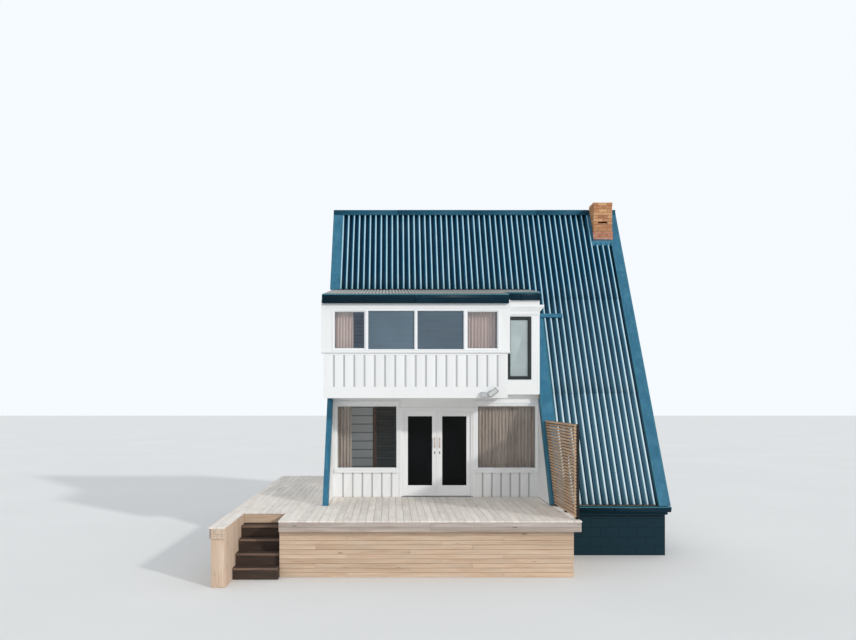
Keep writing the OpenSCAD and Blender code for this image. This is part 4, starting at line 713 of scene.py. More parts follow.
def chimney():
    """Every brick of the stack from the floor to the crown, on a mortar core, with its vent slit."""
    s = Shape()
    x0, x1, y0, y1 = 3.105, 3.598, -0.49, -0.025
    ledge_z, top, joint, wide, inner = 7.88, 8.63, 0.009, 0.013, 0.103
    rake, slot = 0.018, (8.08, 8.13)
    low_n, courses = 84, []
    for z0, z1, n, g, mat in ((FLOOR, ledge_z, low_n, wide, 2), (ledge_z, top, 9, 0.0, 0)):
        courses += [(z0 + (z1 - z0) * k / n, z0 + (z1 - z0) * (k + 1) / n, g, mat) for k in range(n)]
    for k, (z0, z1, g, mat) in enumerate(courses):
        last = k == len(courses) - 1
        z1 -= 0 if last else rake if k == low_n - 1 else joint
        g = 0.006 if last else g
        a, b, c, d = x0 - g, x1 + g, y0 - g, y1 + g
        vent = z0 < slot[1] - 0.02 and z1 > slot[0] + 0.02 and g == 0.0
        cuts = [0.25, 0.75] if vent or k % 2 == 0 else [0.5]
        spans = [a] + [a + (b - a) * t for t in cuts] + [b]
        for j in range(len(spans) - 1):
            p, q = spans[j], spans[j + 1] - (joint if j < len(spans) - 2 else 0)
            for face in (c, d):
                jit = RNG.uniform(-0.0012, 0.0012)
                ya, yb = (face + jit, face + inner) if face == c else (face - inner, face + jit)
                high = slot[0] if vent and j == 1 and face == c else z1
                s.box((p, ya, z0), (q, yb, high), 0.003, mat)
        span = (d - inner - joint) - (c + inner + joint)
        parts = 1 if k % 2 else 2
        for j in range(parts):
            ya = c + inner + joint + (span + joint) * j / parts
            yb = ya + (span + joint) / parts - joint
            for xa, xb in ((a, a + inner), (b - inner, b)):
                jit = RNG.uniform(-0.0012, 0.0012)
                near, far = xa + (jit if xa == a else 0), xb + (jit if xb == b else 0)
                s.box((near, ya, z0), (far, yb, z1), 0.003, mat)
    m, deep, split = 0.004, 0.09, ledge_z - rake + 0.002
    for z0, z1, g in ((0.0, split, wide), (split - 0.002, top - 0.008, -0.004)):
        a, b, c, d = x0 - g + m, x1 + g - m, y0 - g + m, y1 + g - m
        core = [((a, c, z0), (a + deep, d, z1)), ((b - deep, c, z0), (b, d, z1))]
        left, right, side = a + deep - 0.001, b - deep + 0.001, 0.12
        core += [((p, c, z0), (q, c + deep, z1)) for p, q in ((left, a + side), (b - side, right))]
        core += [((a + side, c, e), (b - side, c + deep, f))
                 for e, f in ((z0, min(z1, slot[0] - 0.002)), (slot[1] + 0.002, z1)) if f > e]
        core += [((left, d - deep, z0), (right, d, z1))]
        for p, q in core:
            s.box(p, q, 0.001, 1)
    # The crown's mortar slope and the flue liner
    cx, cy = (x0 + x1) / 2, (y0 + y1) / 2
    ring = [(0.112, -0.45), (0.112, -0.006), (0.124, -0.006), (0.124, -0.02), (0.13, -0.012), (0.21, -0.03),
            (0.225, -0.05)]
    s.grid([[(cx + r * sx * 1.02, cy + r * sy, top + h) for sx, sy in ((-1, -1), (1, -1), (1, 1), (-1, 1))]
            for r, h in ring], 1, closed=True)
    s.make("stack", ["brick", "mortar", "brick_low"], None, ["chimney"])


def gutters():
    """Gutters with beads, end caps, brackets and joints, in the low roof's and the eaves' lengths."""
    s, beads = Shape(), Shape()

    def run(place, x0, x1, w, h):
        """Outline in y (out from the wall, negative) and z below the gutter's top edge."""
        prof = [(0.0, 0.004), (0.0, -h + 0.006), (-0.006, -h), (-w + 0.046, -h), (-w + 0.036, -h + 0.006),
                (-w + 0.008, -h * 0.46), (-w, -h * 0.36), (-w + 0.002, -h * 0.28), (-w + 0.012, -0.01),
                (-w + 0.012, -0.002)]
        s.grid([[(x, y, z) for y, z in prof] for x in (x0, (x0 + x1) / 2, x1)], 0, place)
        turns = [2 * math.pi * k / 12 for k in range(12)]
        bead = [(-w + 0.01 + 0.0105 * math.cos(a), -0.002 + 0.0105 * math.sin(a)) for a in turns]
        beads.prism(bead, x0, x1, 0, 0, place)
        for x in (x0 + 0.0008, x1 - 0.0008):
            s.add([(x, y, z) for y, z in prof + [(0.0, 0.004)]], [list(range(len(prof) + 1))], 0, place)
        count = max(2, round((x1 - x0) / 0.9))
        for k in range(count):
            x = x0 + (x1 - x0) * (k + 0.5) / count
            strap = [[(x + dx, y, 0.006) for dx in (-0.012, 0.012)] for y in (0.0, -w * 0.5, -w + 0.004)]
            s.grid(strap, 0, place)
        count = max(2, round((x1 - x0) / 2.4))
        for k in range(1, count):
            x = x0 + (x1 - x0) * k / count
            s.grid([[(x + dx, y, z) for y, z in prof[1:]] for dx in (-0.03, 0.03)],
                   0, place @ Matrix.Translation((0, -0.0015, -0.001)))
    y_box, y_bay = -lo("parapet")[1] + 0.0053, -lo("bay_walls")[1] + 0.0053
    z_box, z_eave = LOW_EAVE_Z - 0.018 - 0.012, FLOOR - 0.018
    z_bay = z_box + (y_box - y_bay) * math.tan(LOW_PITCH)
    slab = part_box("ground_floor")
    run(Matrix.Translation((0, -y_box, z_box)), lo("low_roof_gutters")[0], BOX_RIGHT, 0.125, 0.185)
    run(Matrix.Translation((0, -y_bay, z_bay)), 0.344, RECESS_RIGHT + 0.01, 0.1, 0.1665)
    run(Matrix.Translation((0, slab[0][1] - HAIR, z_eave)), 1.385, HALF, 0.125, 0.115)
    back = Matrix.Translation((0, slab[1][1] + HAIR, z_eave)) @ Matrix.Rotation(math.pi, 4, "Z")
    run(back, -HALF, HALF, 0.125, 0.115)
    s.make("gutters", "gutter", None, ["low_roof_gutters", "eave_gutters"], smooth=30, solid=(PLATE, 0))
    # The beads take the lighter paint, a painted highlight along the gutter's top edge.
    beads.make("gutter_beads", "gutter_bead", "gutter", smooth=50)


def trims():
    """Seams, folded edges and fixings on the verges and on the flashing beside the recess."""
    s, folds = Shape(), Shape()
    n = FLASH + 0.004

    def band(place, x0, x1, u):
        s.box((x0 + 0.001, -u - 0.04, n - 0.001), (x1 - 0.001, -u + 0.04, n + 0.0018), 0.0006, 0, place)

    def fold(place, x, u0, u1):
        half = ((0.008, -0.003), (0.006, 0.005))
        prof = [(x - a, n + b) for a, b in half] + [(x + a, n + b) for a, b in half[::-1]]
        folds.prism(prof, -u1, -u0, 1, 0, place)
    foot, verge_in = slope_u(FLOOR + 0.05), 3.552
    for place, way, end in ((FRONT, 1, foot), (BACK, 1, foot), (BACK, -1, foot), (FRONT, -1, 2.62)):
        inner, outer = way * verge_in, way * HALF
        start = 1.05 if place is FRONT and way > 0 else 0.17
        fold(place, inner + way * 0.008, start, end)
        fold(place, outer - way * 0.035, 0.17, end)
        for u in [u for u in (2.1, 4.3, 6.5) if u < end]:
            band(place, min(inner, outer), max(inner, outer), u)
        us = [u * 0.45 for u in range(3 if start > 1 else 1, int(end / 0.45))]
        screws(s, place, [inner + way * 0.03, outer - way * 0.06], us, n, 0.008)
    flash_end = RECESS_RIGHT + 0.29
    top = slope_u(CEILING + 2.001)
    fold(FRONT, flash_end - 0.008, top, slope_u(EAVE))
    fold(FRONT, RECESS_RIGHT + 0.02, top, slope_u(EAVE))
    for u in (top + 1.9, top + 3.4):
        band(FRONT, RECESS_RIGHT, flash_end, u)
    us = [top + 0.3 + 0.45 * k for k in range(10)]
    screws(s, FRONT, [flash_end - 0.03, RECESS_RIGHT + 0.05], us, n, 0.008)
    # The step cap's turned lip and its fixings
    cap = FLASH + 0.032
    s.box((RECESS_RIGHT + 0.002, -top - 0.004, FLASH), (RECESS_RIGHT + 0.77, -top + 0.003, cap + 0.004),
          0.001, 0, FRONT)
    screws(s, FRONT, [RECESS_RIGHT + 0.06 + 0.13 * k for k in range(6)], [top - 0.07], cap, 0.008)
    s.make("flashing_trims", "flashing", smooth=35)
    # The folds take the lighter paint, a painted highlight along each fold.
    folds.make("flashing_folds", "gutter_bead", "flashing", smooth=35)


main_sheets()
low_sheets()
ridge()
apron()
chimney()
gutters()
trims()


# Windows and doors
def beads_round(s, x0, x1, z0, z1, y, w, d, place=None):
    """Glazing beads round an opening in the XZ plane, butted at the corners, standing out from y by d."""
    ya, yb = (y - d, y) if d > 0 else (y, y - d)
    for a, b in (((x0, ya, z0), (x1, yb, z0 + w)), ((x0, ya, z1 - w), (x1, yb, z1)),
                 ((x0, ya, z0 + w), (x0 + w, yb, z1 - w)), ((x1 - w, ya, z0 + w), (x1, yb, z1 - w))):
        s.box(a, b, 0.004, 0, place)


def window_trims():
    """Beads, sills, stays and cover strips of all the windows, and the panes of the upper band."""
    s, panes = Shape(), Shape()
    recess, border = lo("wall_ground_left")[1], 0.055
    for w0, w1 in ((-3.595, -2.068), (-0.262, 1.225)):
        z0, z1 = FLOOR + 0.655, FLOOR + 2.215
        for y, d in ((0.03, 0.012), (0.0365, -0.012)):
            beads_round(s, w0 + border, w1 - border, z0 + border / 2, z1 - border, recess + y, 0.014, d)
        # A drip nosing on the sill
        s.box((w0 - 0.012, recess - 0.052, z0 - 0.022),
              (w1 + (0.012 if w1 < 0 else 0), recess - 0.001, z0 - 0.002), 0.005)
    face = lo("upper_wall")[1]
    outer, band_l, band_r = 0.755, -3.553, 0.132
    edge, mullion, sash = 0.024, 0.060, 0.020
    fixed = (band_r - band_l - 2 * outer) / 2
    edges = [band_l, band_l + outer, band_l + outer + fixed, band_l + outer + 2 * fixed, band_r]
    z0, z1, inset = 4.49, 5.40, 0.0283
    lowest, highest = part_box("upper_glass")
    for i in range(4):
        a = edges[i] + (edge if i == 0 else mullion / 2)
        b = edges[i + 1] - (edge if i == 3 else mullion / 2)
        f = sash if i in (0, 3) else 0.0
        for y, w, d in ((0.0195, 0.005, 0.008), (0.0265, 0.009, -0.012)):
            beads_round(s, a + f, b - f, z0 + inset + f, z1 - inset - f, face + y, w, d)
        panes.box((a + f + HAIR, lowest[1], lowest[2] + f), (b - f - HAIR, highest[1], highest[2] - f),
                  0.001, 1 if f else 0)
        if f:
            # A casement stay inside
            s.box((a + 0.06, face + 0.046, z0 + 0.045), (a + 0.24, face + 0.058, z0 + 0.058), 0.003)
    # Cover strips over the mullions and thin mouldings along the frieze
    for x in edges[1:4]:
        s.box((x - 0.02, face - 0.021, z0 + 0.004), (x + 0.02, face - 0.012, z1 - 0.004), 0.003)
    for z in (5.42, 5.49):
        s.box((lo("upper_wall")[0] + 0.002, face - 0.009, z),
              (hi("upper_wall")[0] - 0.002, face + 0.001, z + 0.014), 0.004)
    gable_windows = [(t * 1.5, FLOOR + 0.9, 1.2, 1.15) for t in (-1, 1)]
    gable_windows += [(t * 0.9, UPPER + 0.85, 0.76, 0.9) for t in (-1, 1)]
    for side, (y, z, w, h) in product((-1, 1), gable_windows):
        turn = Matrix.Translation((side * 3.6903, y, 0)) @ Matrix.Rotation(side * math.pi / 2, 4, "Z")
        for off, d in ((-0.0063, 0.012), (HAIR, -0.012)):
            beads_round(s, -w / 2 + border, w / 2 - border, z + border, z + h - border, off, 0.014, d, turn)
        s.box((-w / 2 - 0.05, -0.10, z - 0.03), (w / 2 + 0.05, -0.06, z - 0.002), 0.006, 0, turn)
        s.box((-w / 2 - 0.04, -0.085, z + h), (w / 2 + 0.04, -0.06, z + h + 0.045), 0.005, 0, turn)
        s.box((-0.02, -0.008, z + border), (0.02, 0.008, z + h - border), 0.004, 0, turn)
    s.make("window_trims", "white_frame")
    panes.make("upper_panes", ["window_glass", "casement_glass"], None, ["upper_glass"])
    s = Shape()
    face, frame_w = lo("bay_walls")[1], 0.07
    for y, d in ((0.0247, 0.012), (0.0313, -0.012)):
        beads_round(s, 0.535, 0.965, 3.88 + frame_w, hi("bay_window_frame")[2] - frame_w, face + y, 0.01, d)
    s.make("bay_beads", "dark_frame")


def door_trims():
    """Beads, weather bars and locks that ride on the leaves, and the frame's architrave and threshold."""
    sill, gap, leaf, height, glass, stile = 0.015, 0.005, 0.81, 2.02, 0.006, 0.113
    pull, bolt, lock = FLOOR + 1.29, 0.26 / 3, FLOOR + 1.05
    mid, z0 = -1.164, FLOOR + sill + gap
    y_out, y_in = lo("door_left")[1], lo("door_left")[1] + 0.04
    for body, way in (("left_door", 1), ("right_door", -1)):
        s = Shape()
        x_hinge = mid - way * (gap / 2 + leaf)
        xs = sorted((x_hinge + way * stile, x_hinge + way * (leaf - stile)))
        for y, d in ((y_out + 0.02 - glass / 2, 0.013), (y_in - 0.02 + glass / 2, -0.013)):
            beads_round(s, xs[0], xs[1], z0 + 0.249, z0 + height - 0.12, y, 0.005, d)
        # A weather bar at the foot and a raised line round the bottom rail
        s.box((xs[0] - 0.09, y_out - 0.012, z0 + 0.006), (xs[1] + 0.09, y_out + 0.004, z0 + 0.04), 0.005)
        beads_round(s, xs[0] - 0.03, xs[1] + 0.03, z0 + 0.075, z0 + 0.222, y_out + 0.0002, 0.01, 0.004)
        s.make(body + "_beads", "white_frame", body=body)
        s = Shape()
        x = mid - way * (gap / 2 + stile / 2)
        for y, d in ((y_out, -1), (y_in, 1)):
            for z in (pull - bolt, pull + bolt):
                s.rod((x, y, z), (x, y + d * 0.006, z), 0.014, 16)
            s.box((x - 0.016, y, lock - 0.03), (x + 0.016, y + d * 0.004, lock + 0.03), 0.003, 1)
            s.rod((x, y, lock), (x, y + d * 0.009, lock), 0.009, 14, 1)
        s.make(body + "_lock", ["pull_metal", "steel"], body=body)
    # The astragal on the leaf that closes last, outside the meeting line
    s = Shape()
    s.box((mid - 0.018, y_out - 0.008, z0 + 0.004),
          (mid + 0.0015, y_out - 0.0002, z0 + height - 0.004), 0.003)
    s.make("meeting_strip", "white_frame", body="left_door")
    s = Shape()
    recess, a, b = lo("wall_ground_left")[1], lo("door_frame")[0], hi("door_frame")[0]
    for p, q in ((a - 0.045, a + 0.012), (b - 0.012, b + 0.045)):
        s.box((p, recess - 0.014, FLOOR + 0.002), (q, recess - HAIR, 3.2), 0.004)
    s.box((a - 0.045, recess - 0.016, 3.17), (b + 0.045, recess - HAIR, 3.225), 0.004)
    s.make("door_architrave", "white_frame")
    s = Shape()
    s.box((mid - 0.85, recess - 0.02, FLOOR + 0.0005), (mid + 0.85, recess + 0.03, FLOOR + 0.0175), 0.004)
    s.make("threshold", "steel")


def parapet():
    """The parapet's upright boards, each a little rounded across, over grooves whose floor is painted grey
    as shade.
    """
    s = Shape()
    (x0, front, z0), (x1, back, z1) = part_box("parapet")
    foot, head, gap, deep, bow = z0 + 0.25, z1 - 0.04, 0.04, 0.018, 0.005
    behind = front + deep + 0.003
    s.box((x0, front + deep + 0.002, z0), (x1, back, z1), 0.002)
    # The groove floor behind the boards, painted grey as shade.
    s.box((x0 + 0.01, front + deep, foot), (x1 - 0.01, behind, head), 0.001, 1)
    s.box((x0, front, z0), (x1, behind, foot), 0.004)
    s.box((x0, front, head), (x1, behind, z1), 0.004)
    count = round((x1 - x0) / UPRIGHT_BOARD)
    for k in range(count):
        a = x0 + (x1 - x0) * k / count + (gap / 2 if k else 0)
        b = x0 + (x1 - x0) * (k + 1) / count - (gap / 2 if k < count - 1 else 0)
        curve = [(a + (b - a) * i / 8, front + bow * (i / 4 - 1) ** 2) for i in range(9)]
        s.prism(curve + [(b, behind), (a, behind)], foot - 0.001, head + 0.001, 2)
    s.make("parapet_boards", ["white_board", "groove_paint"], None, ["parapet"], smooth=20)


def groove_liners():
    """Grey strips in the joints between the boards at the foot of the recess's walls: painted shade."""
    s = Shape()
    for name in ("wall_ground_left", "wall_ground_right"):
        low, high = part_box(name)
        count = round((high[0] - low[0]) / UPRIGHT_BOARD)
        for k in range(1, count):
            x = low[0] + (high[0] - low[0]) * k / count
            s.box((x - 0.019, low[1] + 0.0155, FLOOR + 0.002),
                  (x + 0.019, low[1] + 0.0178, FLOOR + 0.579), 0.001)
    s.make("groove_liners", "groove_paint", "white_board")


def base_grille():
    """A louvred vent cover on the right base wall, over the slot beside the chimney's foot."""
    s = Shape()
    x, half, z0, z1, rim, count = hi("base_walls")[0], 0.085, 0.05, 0.88, 0.03, 20
    for a, b in ((-half, -half + rim), (half - rim, half)):
        s.box((x + HAIR, a, z0), (x + 0.012, b, z1))
    for a, b in ((z0, z0 + rim), (z1 - rim, z1)):
        s.box((x + HAIR, -half + rim, a), (x + 0.012, half - rim, b))
    for k in range(count):
        z = z0 + rim + (z1 - z0 - 2 * rim) * k / count
        louvre = [(x + a, z + b) for a, b in
                  ((0.0106, 0.002), (0.0114, 0.006), (-0.02, 0.036), (-0.0208, 0.032))]
        s.prism(louvre, -half + rim + 0.001, half - rim - 0.001, 1)
    s.make("base_grille", "skirt_paint", "base_paint")


def inner_wall():
    """The weatherboarded wall inside the left window, each board lapping the one below, and its post."""
    s = Shape()
    (x0, y0, z0), (x1, y1, z1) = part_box("inner_wall")
    post, mid, rows = x1 - 0.095, (y0 + y1) / 2, 11
    end = post - HAIR
    for k in range(rows):
        a, b = z0 + (z1 - z0) * k / rows, z0 + (z1 - z0) * (k + 1) / rows
        if k:
            s.box((x0, y0 + 0.0095, a - 0.022), (end, y1 - 0.0095, a + 0.001), 0.001, 2)
        for face, way in ((y0 + 0.01, 1), (y1 - 0.01, -1)):
            s.prism([(face, a + 0.003), (face + way * 0.016, b), (mid, b), (mid, a + 0.003)], x0, end)
    s.box((post, y0, z0), (x1, y1, z1), 0.006, 1)
    s.make("inner_boards", ["inner_board", "post_wood", "lap_shade"], None, ["inner_wall"])


def floor_skirt():
    """Painted trim over the edge of the floor slab, below the gables and the eave gutters."""
    s = Shape()
    (x0, y0, z0), (x1, y1, z1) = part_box("ground_floor")
    left, step = 1.375, 0.964
    for low, high in (((x1 + HAIR, y0, z0 + 0.003), (x1 + 0.02, y1, z1 - 0.004)),
                      ((x0 - 0.02, 2.575, z0 + 0.003), (x0 - HAIR, y1, z1 - 0.004)),
                      ((left, y0 - 0.01, z0 + 0.003), (x1, y0 - HAIR, step)),
                      ((x0, y1 + HAIR, z0 + 0.003), (x1, y1 + 0.01, step)),
                      ((left, y0 - 0.003, step + 0.006), (x1, y0 - HAIR, z1 - 0.003)),
                      ((x0, y1 + HAIR, step + 0.006), (x1, y1 + 0.003, z1 - 0.003))):
        s.box(low, high)
    s.make("floor_skirt", "skirt_paint", "base_paint")


window_trims()
door_trims()
parapet()
groove_liners()
base_grille()
inner_wall()
floor_skirt()

# The deck's edges, the sides of the stairs and the faces of the cladding
DECK_FRONT, DECK_BACK, DECK_LEFT, DECK_RIGHT = -6.4, 2.56, -5.55, 1.365
STAIR_RIGHT, STAIR_BACK, STAIR_FRONT = -4.40, -5.27994, -7.15
CLAD_FRONT, CLAD_BACK, CLAD_LEFT, CLAD_RIGHT = -6.27994, 2.44, -5.43, 1.245


def turned(axis, along, out, z):
    """A point from its place along a run and out from it; axis says which way the run goes."""
    return (out, along, z) if axis else (along, out, z)


def deck():
    """Boards with butt joints and screws, overhanging the fascia a little."""
    s, heads = Shape(), Shape()
    front, back = DECK_FRONT - 0.012, DECK_BACK + 0.006
    t, gap, board = 0.03, 0.005, 0.14

    def field(x0, x1, y0, y1, lines):
        n = max(1, round((x1 - x0 + gap) / (board + gap)))
        pitch = (x1 - x0 + gap) / n
        for i in range(n):
            a, b = x0 + i * pitch, x0 + (i + 1) * pitch - gap
            cuts = [y0]
            if y1 - y0 > 4.5:
                at = y0 + (1.2 if i % 2 else 2.4) + 1.2 * RNG.randint(0, 2)
                while at < y1 - 1.0:
                    cuts.append(min(lines, key=lambda y: abs(y - at)))
                    at = cuts[-1] + 3.6
            cuts.append(y1)
            for ya, yb in zip(cuts, cuts[1:]):
                dz = RNG.uniform(-0.0012, 0.0)
                near = ya + (RNG.uniform(0, 0.004) if ya == y0 else 0.002)
                far = yb - (0.002 if yb != y1 else 0)
                s.box((a, near, FLOOR - t + dz), (b, far, FLOOR + dz), 0.003)
            for y in lines:
                if y0 < y < y1:
                    for x in (a + 0.028, b - 0.028):
                        heads.rod((x, y, FLOOR - 0.004), (x, y, FLOOR + 0.0004), 0.0045, 8)

    def lines(y0, y1, step=0.6, edge=0.045):
        n = math.ceil((y1 - y0 - edge) / step)
        return [y0 + (y1 - y0 - edge) * i / n + edge / 2 for i in range(n + 1)]
    house, recess = lo("ground_floor")[1] - gap, lo("wall_ground_left")[1] - gap
    frames, side = lines(front + 0.042, house), lines(-5.26, 2.53)
    field(-3.75, -3.635, front, house, frames)
    field(-3.625, RECESS_RIGHT - 0.009, front, recess, frames + lines(house + 0.01, recess + 0.1))
    field(RECESS_RIGHT, 1.371, front, house, frames)
    field(-5.556, -5.265, -7.156, back, lines(-7.12, -5.3) + side)
    field(-5.26, -4.405, -5.298, back, side)
    field(-4.406, -3.755, front, back, frames + [y for y in side if y > house])
    s.make("deck_boards", "deck_wood", None, ["deck_boards_front", "deck_boards_side"])
    heads.make("deck_screws", "steel", smooth=40)


def deck_edges():
    """Fascia boards under the overhanging boards, with joints and bolts."""
    s, bolts = Shape(), Shape()
    z0, z1, t = FLOOR - 0.212, FLOOR - 0.031, 0.03
    mid = z0 + (z1 - z0) * 0.46

    def run(axis, a, b, y, out, end=False):
        """Two boards, one above the other, facing out; an end run has the stair wall's wood."""
        near, far = sorted((y, y - out * t))
        parts = max(1, math.ceil((b - a) / 3.7))
        for k in range(parts):
            p, q = a + (b - a) * k / parts, a + (b - a) * (k + 1) / parts
            for row, (za, zb) in enumerate(((mid + 0.0015, z1), (z0, mid - 0.0015))):
                s.box(turned(axis, p + 0.001, near, za), turned(axis, q - 0.001, far, zb), 0.003,
                      4 if end else axis + 2 * row)
            for at in (p + 0.06, q - 0.06):
                for z in (z0 + 0.05, z1 - 0.05):
                    bolts.rod(turned(axis, at, y, z), turned(axis, at, y + out * 0.004, z),
                              0.008, 10, dome=0.003)
    run(0, STAIR_RIGHT, DECK_RIGHT, DECK_FRONT, -1)
    run(1, -6.37, -4.2, DECK_RIGHT, 1)
    run(1, -6.37, -5.281, STAIR_RIGHT, -1)
    run(1, -7.12, DECK_BACK, DECK_LEFT, -1)
    run(0, -5.52, -3.756, DECK_BACK, 1)
    run(0, -5.52, -5.262, STAIR_FRONT, -1, True)
    s.make("fascia_boards", ["fascia_wood", "fascia_side", "fascia_low", "fascia_low_side", "wall_wood"],
           None, ["deck_fascia"])
    bolts.make("fascia_bolts", "steel", smooth=40)


def cladding():
    """Boards along the deck's frame below the fascia, their end joints staggered, each nailed."""
    s, nails = Shape(), Shape()
    top, rows, t, gap = hi("deck_cladding")[2], 10, 0.022, 0.004

    def run(axis, a, b, face, out):
        for k in range(rows):
            z0, z1 = top * k / rows + gap / 2, top * (k + 1) / rows - gap / 2
            ends = [a]
            at = a + (1.3, 2.5, 0.7, 3.1)[k % 4]
            while at < b - 0.5:
                ends.append(at)
                at += 3.0
            ends.append(b)
            for p, q in zip(ends, ends[1:]):
                j = RNG.uniform(0, 0.0016)
                ya, yb = sorted((face - out * t, face - out * j))
                s.box(turned(axis, p + 0.001, ya, z0), turned(axis, q - 0.001, yb, z1), 0.003, axis)
                for x in (p + 0.03, q - 0.03):
                    for z in (z0 + 0.02, z1 - 0.02):
                        nails.rod(turned(axis, x, face - out * 0.004, z),
                                  turned(axis, x, face - out * (j - 0.0006), z), 0.0035, 6)
    run(0, STAIR_RIGHT, CLAD_RIGHT, CLAD_FRONT, -1)
    run(1, -6.2565, -4.1198, CLAD_RIGHT, 1)
    run(1, -6.2565, -5.2802, STAIR_RIGHT, -1)
    run(1, -5.255, CLAD_BACK, CLAD_LEFT, -1)
    run(0, -5.4065, -3.7503, CLAD_BACK, 1)
    s.make("cladding_boards", ["clad_wood", "clad_side"], None, ["deck_cladding"])
    nails.make("cladding_nails", "steel", smooth=40)


def stair_side():
    """The boxed wall left of the stairs: upright boards outside, posts inside."""
    s = Shape()
    (x0, y0, _), (x1, y1, _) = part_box("stair_wall")
    top, t = FLOOR - 0.033, 0.02

    def boards(axis, a, b, face, out):
        n = max(1, round((b - a) / 0.118))
        w = (b - a) / n
        for k in range(n):
            j = RNG.uniform(0, 0.0015)
            f0, f1 = sorted((face - out * (t + j), face - out * j))
            z0 = RNG.uniform(0.0, 0.006)
            s.box(turned(axis, a + w * k + 0.0012, f0, z0),
                  turned(axis, a + w * (k + 1) - 0.0012, f1, top), 0.003)
    boards(0, x0, x1, y0, -1)
    boards(1, y0 + t + 0.002, y1, x1, 1)
    boards(1, y0 + t + 0.002, y1, x0, -1)
    boards(0, x0 + t + 0.002, x1 - t - 0.002, y1, 1)
    for x, y in product((x0 + 0.022, x1 - 0.092), (y0 + 0.024, (y0 + y1) / 2, y1 - 0.094)):
        s.box((x, y, 0), (x + 0.07, y + 0.07, top - 0.001), 0.004)
    s.make("stair_side", "wall_wood", "clad_wood", ["stair_wall"])


def nosings():
    """A paler strip along each tread's front edge, and the facing board under the deck's edge."""
    s = Shape()
    x0, x1, top = lo("stairs")[0] + 0.002, hi("stairs")[0] - 0.002, STAIR_BACK
    going, rise = 0.3, 0.22
    for k in range(1, 5):
        y, z = top - going * k - 0.02, FLOOR - rise * k
        s.box((x0, y - 0.0012, z - 0.038), (x1, y + 0.03, z + 0.0012), 0.001)
    s.box((x0, top - 0.008, FLOOR - 0.205), (x1, top - 0.0002, FLOOR - 0.036), 0.002, 1)
    s.make("stair_nosings", ["nosing_wood", "clad_wood"], "stair_wood")


def screen_fixings():
    """Screws through the slats, shoes under the posts and a batten up the slats' front ends."""
    s = Shape()
    x = lo("screen_slats")[0]
    front, top, slat, pitch, count = -6.23, 1.83, 0.042, 0.062, 29
    roof = -0.5 * (APEX - FLOOR) / SP
    for z in [FLOOR + top - slat - pitch * i + slat / 2 for i in range(count)]:
        for y in (front + 0.045, (front + roof) / 2 + 0.045):
            s.rod((x + 0.001, y, z), (x - 0.0015, y, z), 0.004, 8)
    for y in (front, -5.24):
        s.box((1.303, y - 0.012, FLOOR), (1.369, y + 0.102, FLOOR + 0.008))
    s.make("screen_fixings", "steel")
    s = Shape()
    s.box((x - 0.014, -6.2285, FLOOR + 0.012), (x - 0.0006, -6.196, FLOOR + 1.805), 0.003)
    s.make("screen_batten", "batten_wood", "slat_wood")


deck()
deck_edges()
cladding()
stair_side()
nosings()
screen_fixings()


# Curtains
def curtain(name, x0, x1, y0, z0, z1, folds, seed, look="curtain"):
    """A pleated curtain hung from its top edge: folds deepen and drift towards the hem."""
    y1 = y0 + 0.06
    mid, deep = (y0 + y1) / 2, (y1 - y0) / 2 * 0.86
    rnd = random.Random(seed)
    phase = [rnd.uniform(-0.5, 0.5) for _ in range(folds + 2)]
    cols, count = folds * 12, 26
    rows = []
    for j in range(count + 1):
        t = j / count
        row = []
        for i in range(cols + 1):
            u = i / cols
            k = u * folds
            a = phase[int(k)] + (phase[min(int(k) + 1, folds + 1)] - phase[int(k)]) * (k - int(k))
            grow = 0.55 + 0.45 * min(1, t * 3)
            wave = math.sin(2 * math.pi * (k + a * 0.35 * t)) * (0.82 + 0.18 * math.cos(5 * k + seed))
            y = mid + deep * grow * wave
            x = x0 + (x1 - x0) * u + 0.006 * math.sin(2 * math.pi * (2 * k) + t) * grow
            row.append((min(max(x, x0), x1), min(max(y, y0), y1), z1 + (z0 - z1) * t))
        rows.append(row)
    s = Shape()
    s.grid(rows)
    o = s.make(name, look, "curtain", ["curtains"], smooth=60)


def curtains():
    """Two curtains on each floor, behind the inner face of their wall."""
    behind, wall, dark = 0.03, 0.12, "curtain_dark"
    upper, ground = -3.85994 + behind, -2.68994 + wall + behind
    top = LOW_EAVE[2] + (4.04494 + upper) * math.tan(LOW_PITCH) - 0.139 / math.cos(LOW_PITCH)
    foot, low, high = UPPER + 0.025, FLOOR + 0.025, 3.4395
    curtain("curtain_upper_left", -3.498, -3.098, upper, foot, top, 6, 3)
    curtain("curtain_upper_right", -0.583, 0.077, upper, foot, top, 9, 5)
    curtain("curtain_ground_left", -3.59, -3.205, ground, low, high, 5, 7, dark)
    curtain("curtain_ground_right", -0.207, 1.175, ground, low, high, 17, 9, dark)


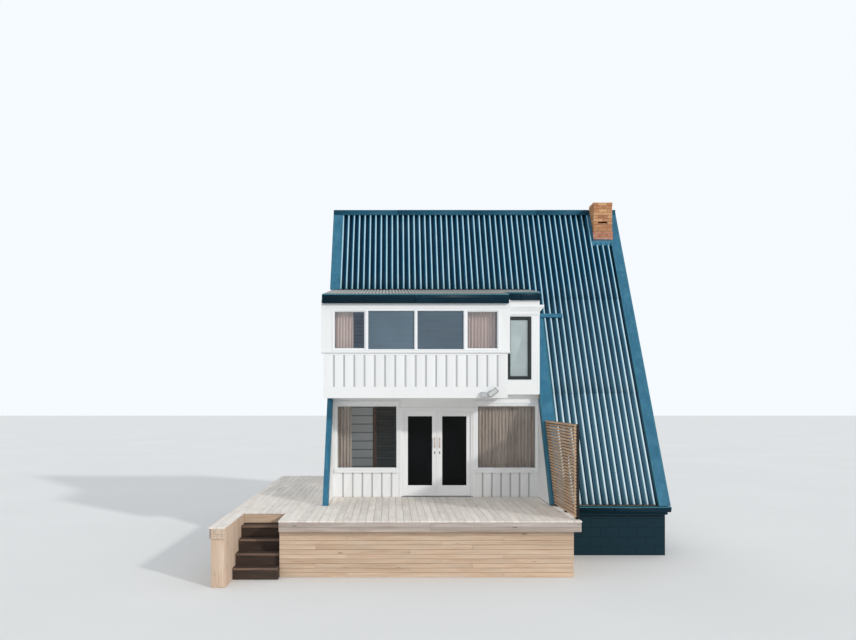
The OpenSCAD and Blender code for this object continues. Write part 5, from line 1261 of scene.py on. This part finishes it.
def lamp():
    """A tilted floodlight with cooling fins and a hood, on a stub arm beside its gear box."""
    s = Shape()
    x0, y, z = lo("outdoor_lamp")[0], lo("parapet")[1] - HAIR, CEILING + 0.024
    w, h = 0.165, 0.112
    s.prism([(y, z), (y, z + h), (y - 0.055, z + h), (y - 0.09, z + h * 0.6), (y - 0.095, z + h * 0.5),
             (y - 0.095, z)], x0, x0 + w)
    for k in range(5):
        x = x0 + 0.018 + 0.028 * k
        s.box((x, y - 0.099, z + 0.01), (x0 + 0.03 + 0.028 * k, y - 0.09, z + h * 0.45))
    cx, cz = x0 + w + 0.23 * 0.42, z + h * 0.85
    s.rod((cx, y, cz), (cx, y - 0.012, cz), 0.034, 24)
    s.rod((cx, y, cz), (cx, y - 0.085, cz), 0.011, 16)
    head = (Matrix.Translation((cx, y - 0.092, cz)) @ Matrix.Rotation(math.radians(-38), 4, "Y")
            @ Matrix.Rotation(math.radians(-20), 4, "X"))
    s.box((-0.112, -0.022, -0.052), (0.112, 0.03, 0.052), 0.008, 0, head)
    for k in range(11):
        x = -0.1 + 0.02 * k
        s.box((x - 0.002, 0.028, -0.048), (x + 0.002, 0.037, 0.048), 0.0015, 0, head)
    for x0, z0, x1, z1 in ((-0.115, -0.0575, 0.115, -0.048), (-0.115, 0.048, 0.115, 0.0575),
                           (-0.115, -0.048, -0.104, 0.048), (0.104, -0.048, 0.115, 0.048)):
        s.box((x0, -0.037, z0), (x1, -0.02, z1), 0.003, 0, head)
    s.box((-0.1, -0.027, -0.045), (0.1, -0.0215, 0.045), 0.002, 1, head)
    s.make("floodlight", ["lamp_metal", "lens"], None, ["outdoor_lamp"], smooth=30)


curtains()
lamp()


# The CAD nodes that stay, and the ground
def dress():
    """Every CAD node that still shows gets its material, and its hard edges a small bevel."""
    slots = {p["node"]: p["material_slot"] for p in frame["record"]["subparts"]}
    own = {"upper_floor": "white_board", "bay_glass": "bay_glass", "ground_glass": "clear_glass"}
    bevels = {"screen_slats": 0.003, "screen_posts": 0.003, "stairs": 0.005}
    for name in ("upper_wall", "bay_hood", "gable_wall_left", "gable_wall_right", "wall_ground_left",
                 "wall_ground_right"):
        bevels[name] = 0.004
    for name, o in NODES.items():
        o.data.materials.clear()
        o.data.materials.append(LOOKS[own.get(name, slots[name])])
        weld = o.modifiers.new("weld", "WELD")
        weld.merge_threshold = 0.00005
        if not name.endswith("_glass"):
            bevel = o.modifiers.new("bevel", "BEVEL")
            bevel.width = bevels.get(name, 0.002)
            bevel.segments = 2
            bevel.limit_method = "ANGLE"
            bevel.angle_limit = math.radians(35)
            bevel.use_clamp_overlap = True


def floor():
    mesh = bpy.data.meshes.new("ground")
    r = 150
    mesh.from_pydata([(-r, -r, 0), (r, -r, 0), (r, r, 0), (-r, r, 0)], [], [[0, 1, 2, 3]])
    m = Look("ground", 0.9)
    m.set(Base_Color=m.ramp(m.noise(0.2), [(0.3, (0.82, 0.82, 0.81, 1)), (0.7, (0.85, 0.85, 0.84, 1))]))
    mesh.materials.append(m.mat)
    o = bpy.data.objects.new("ground", mesh)
    bpy.context.scene.collection.objects.link(o)


dress()
floor()
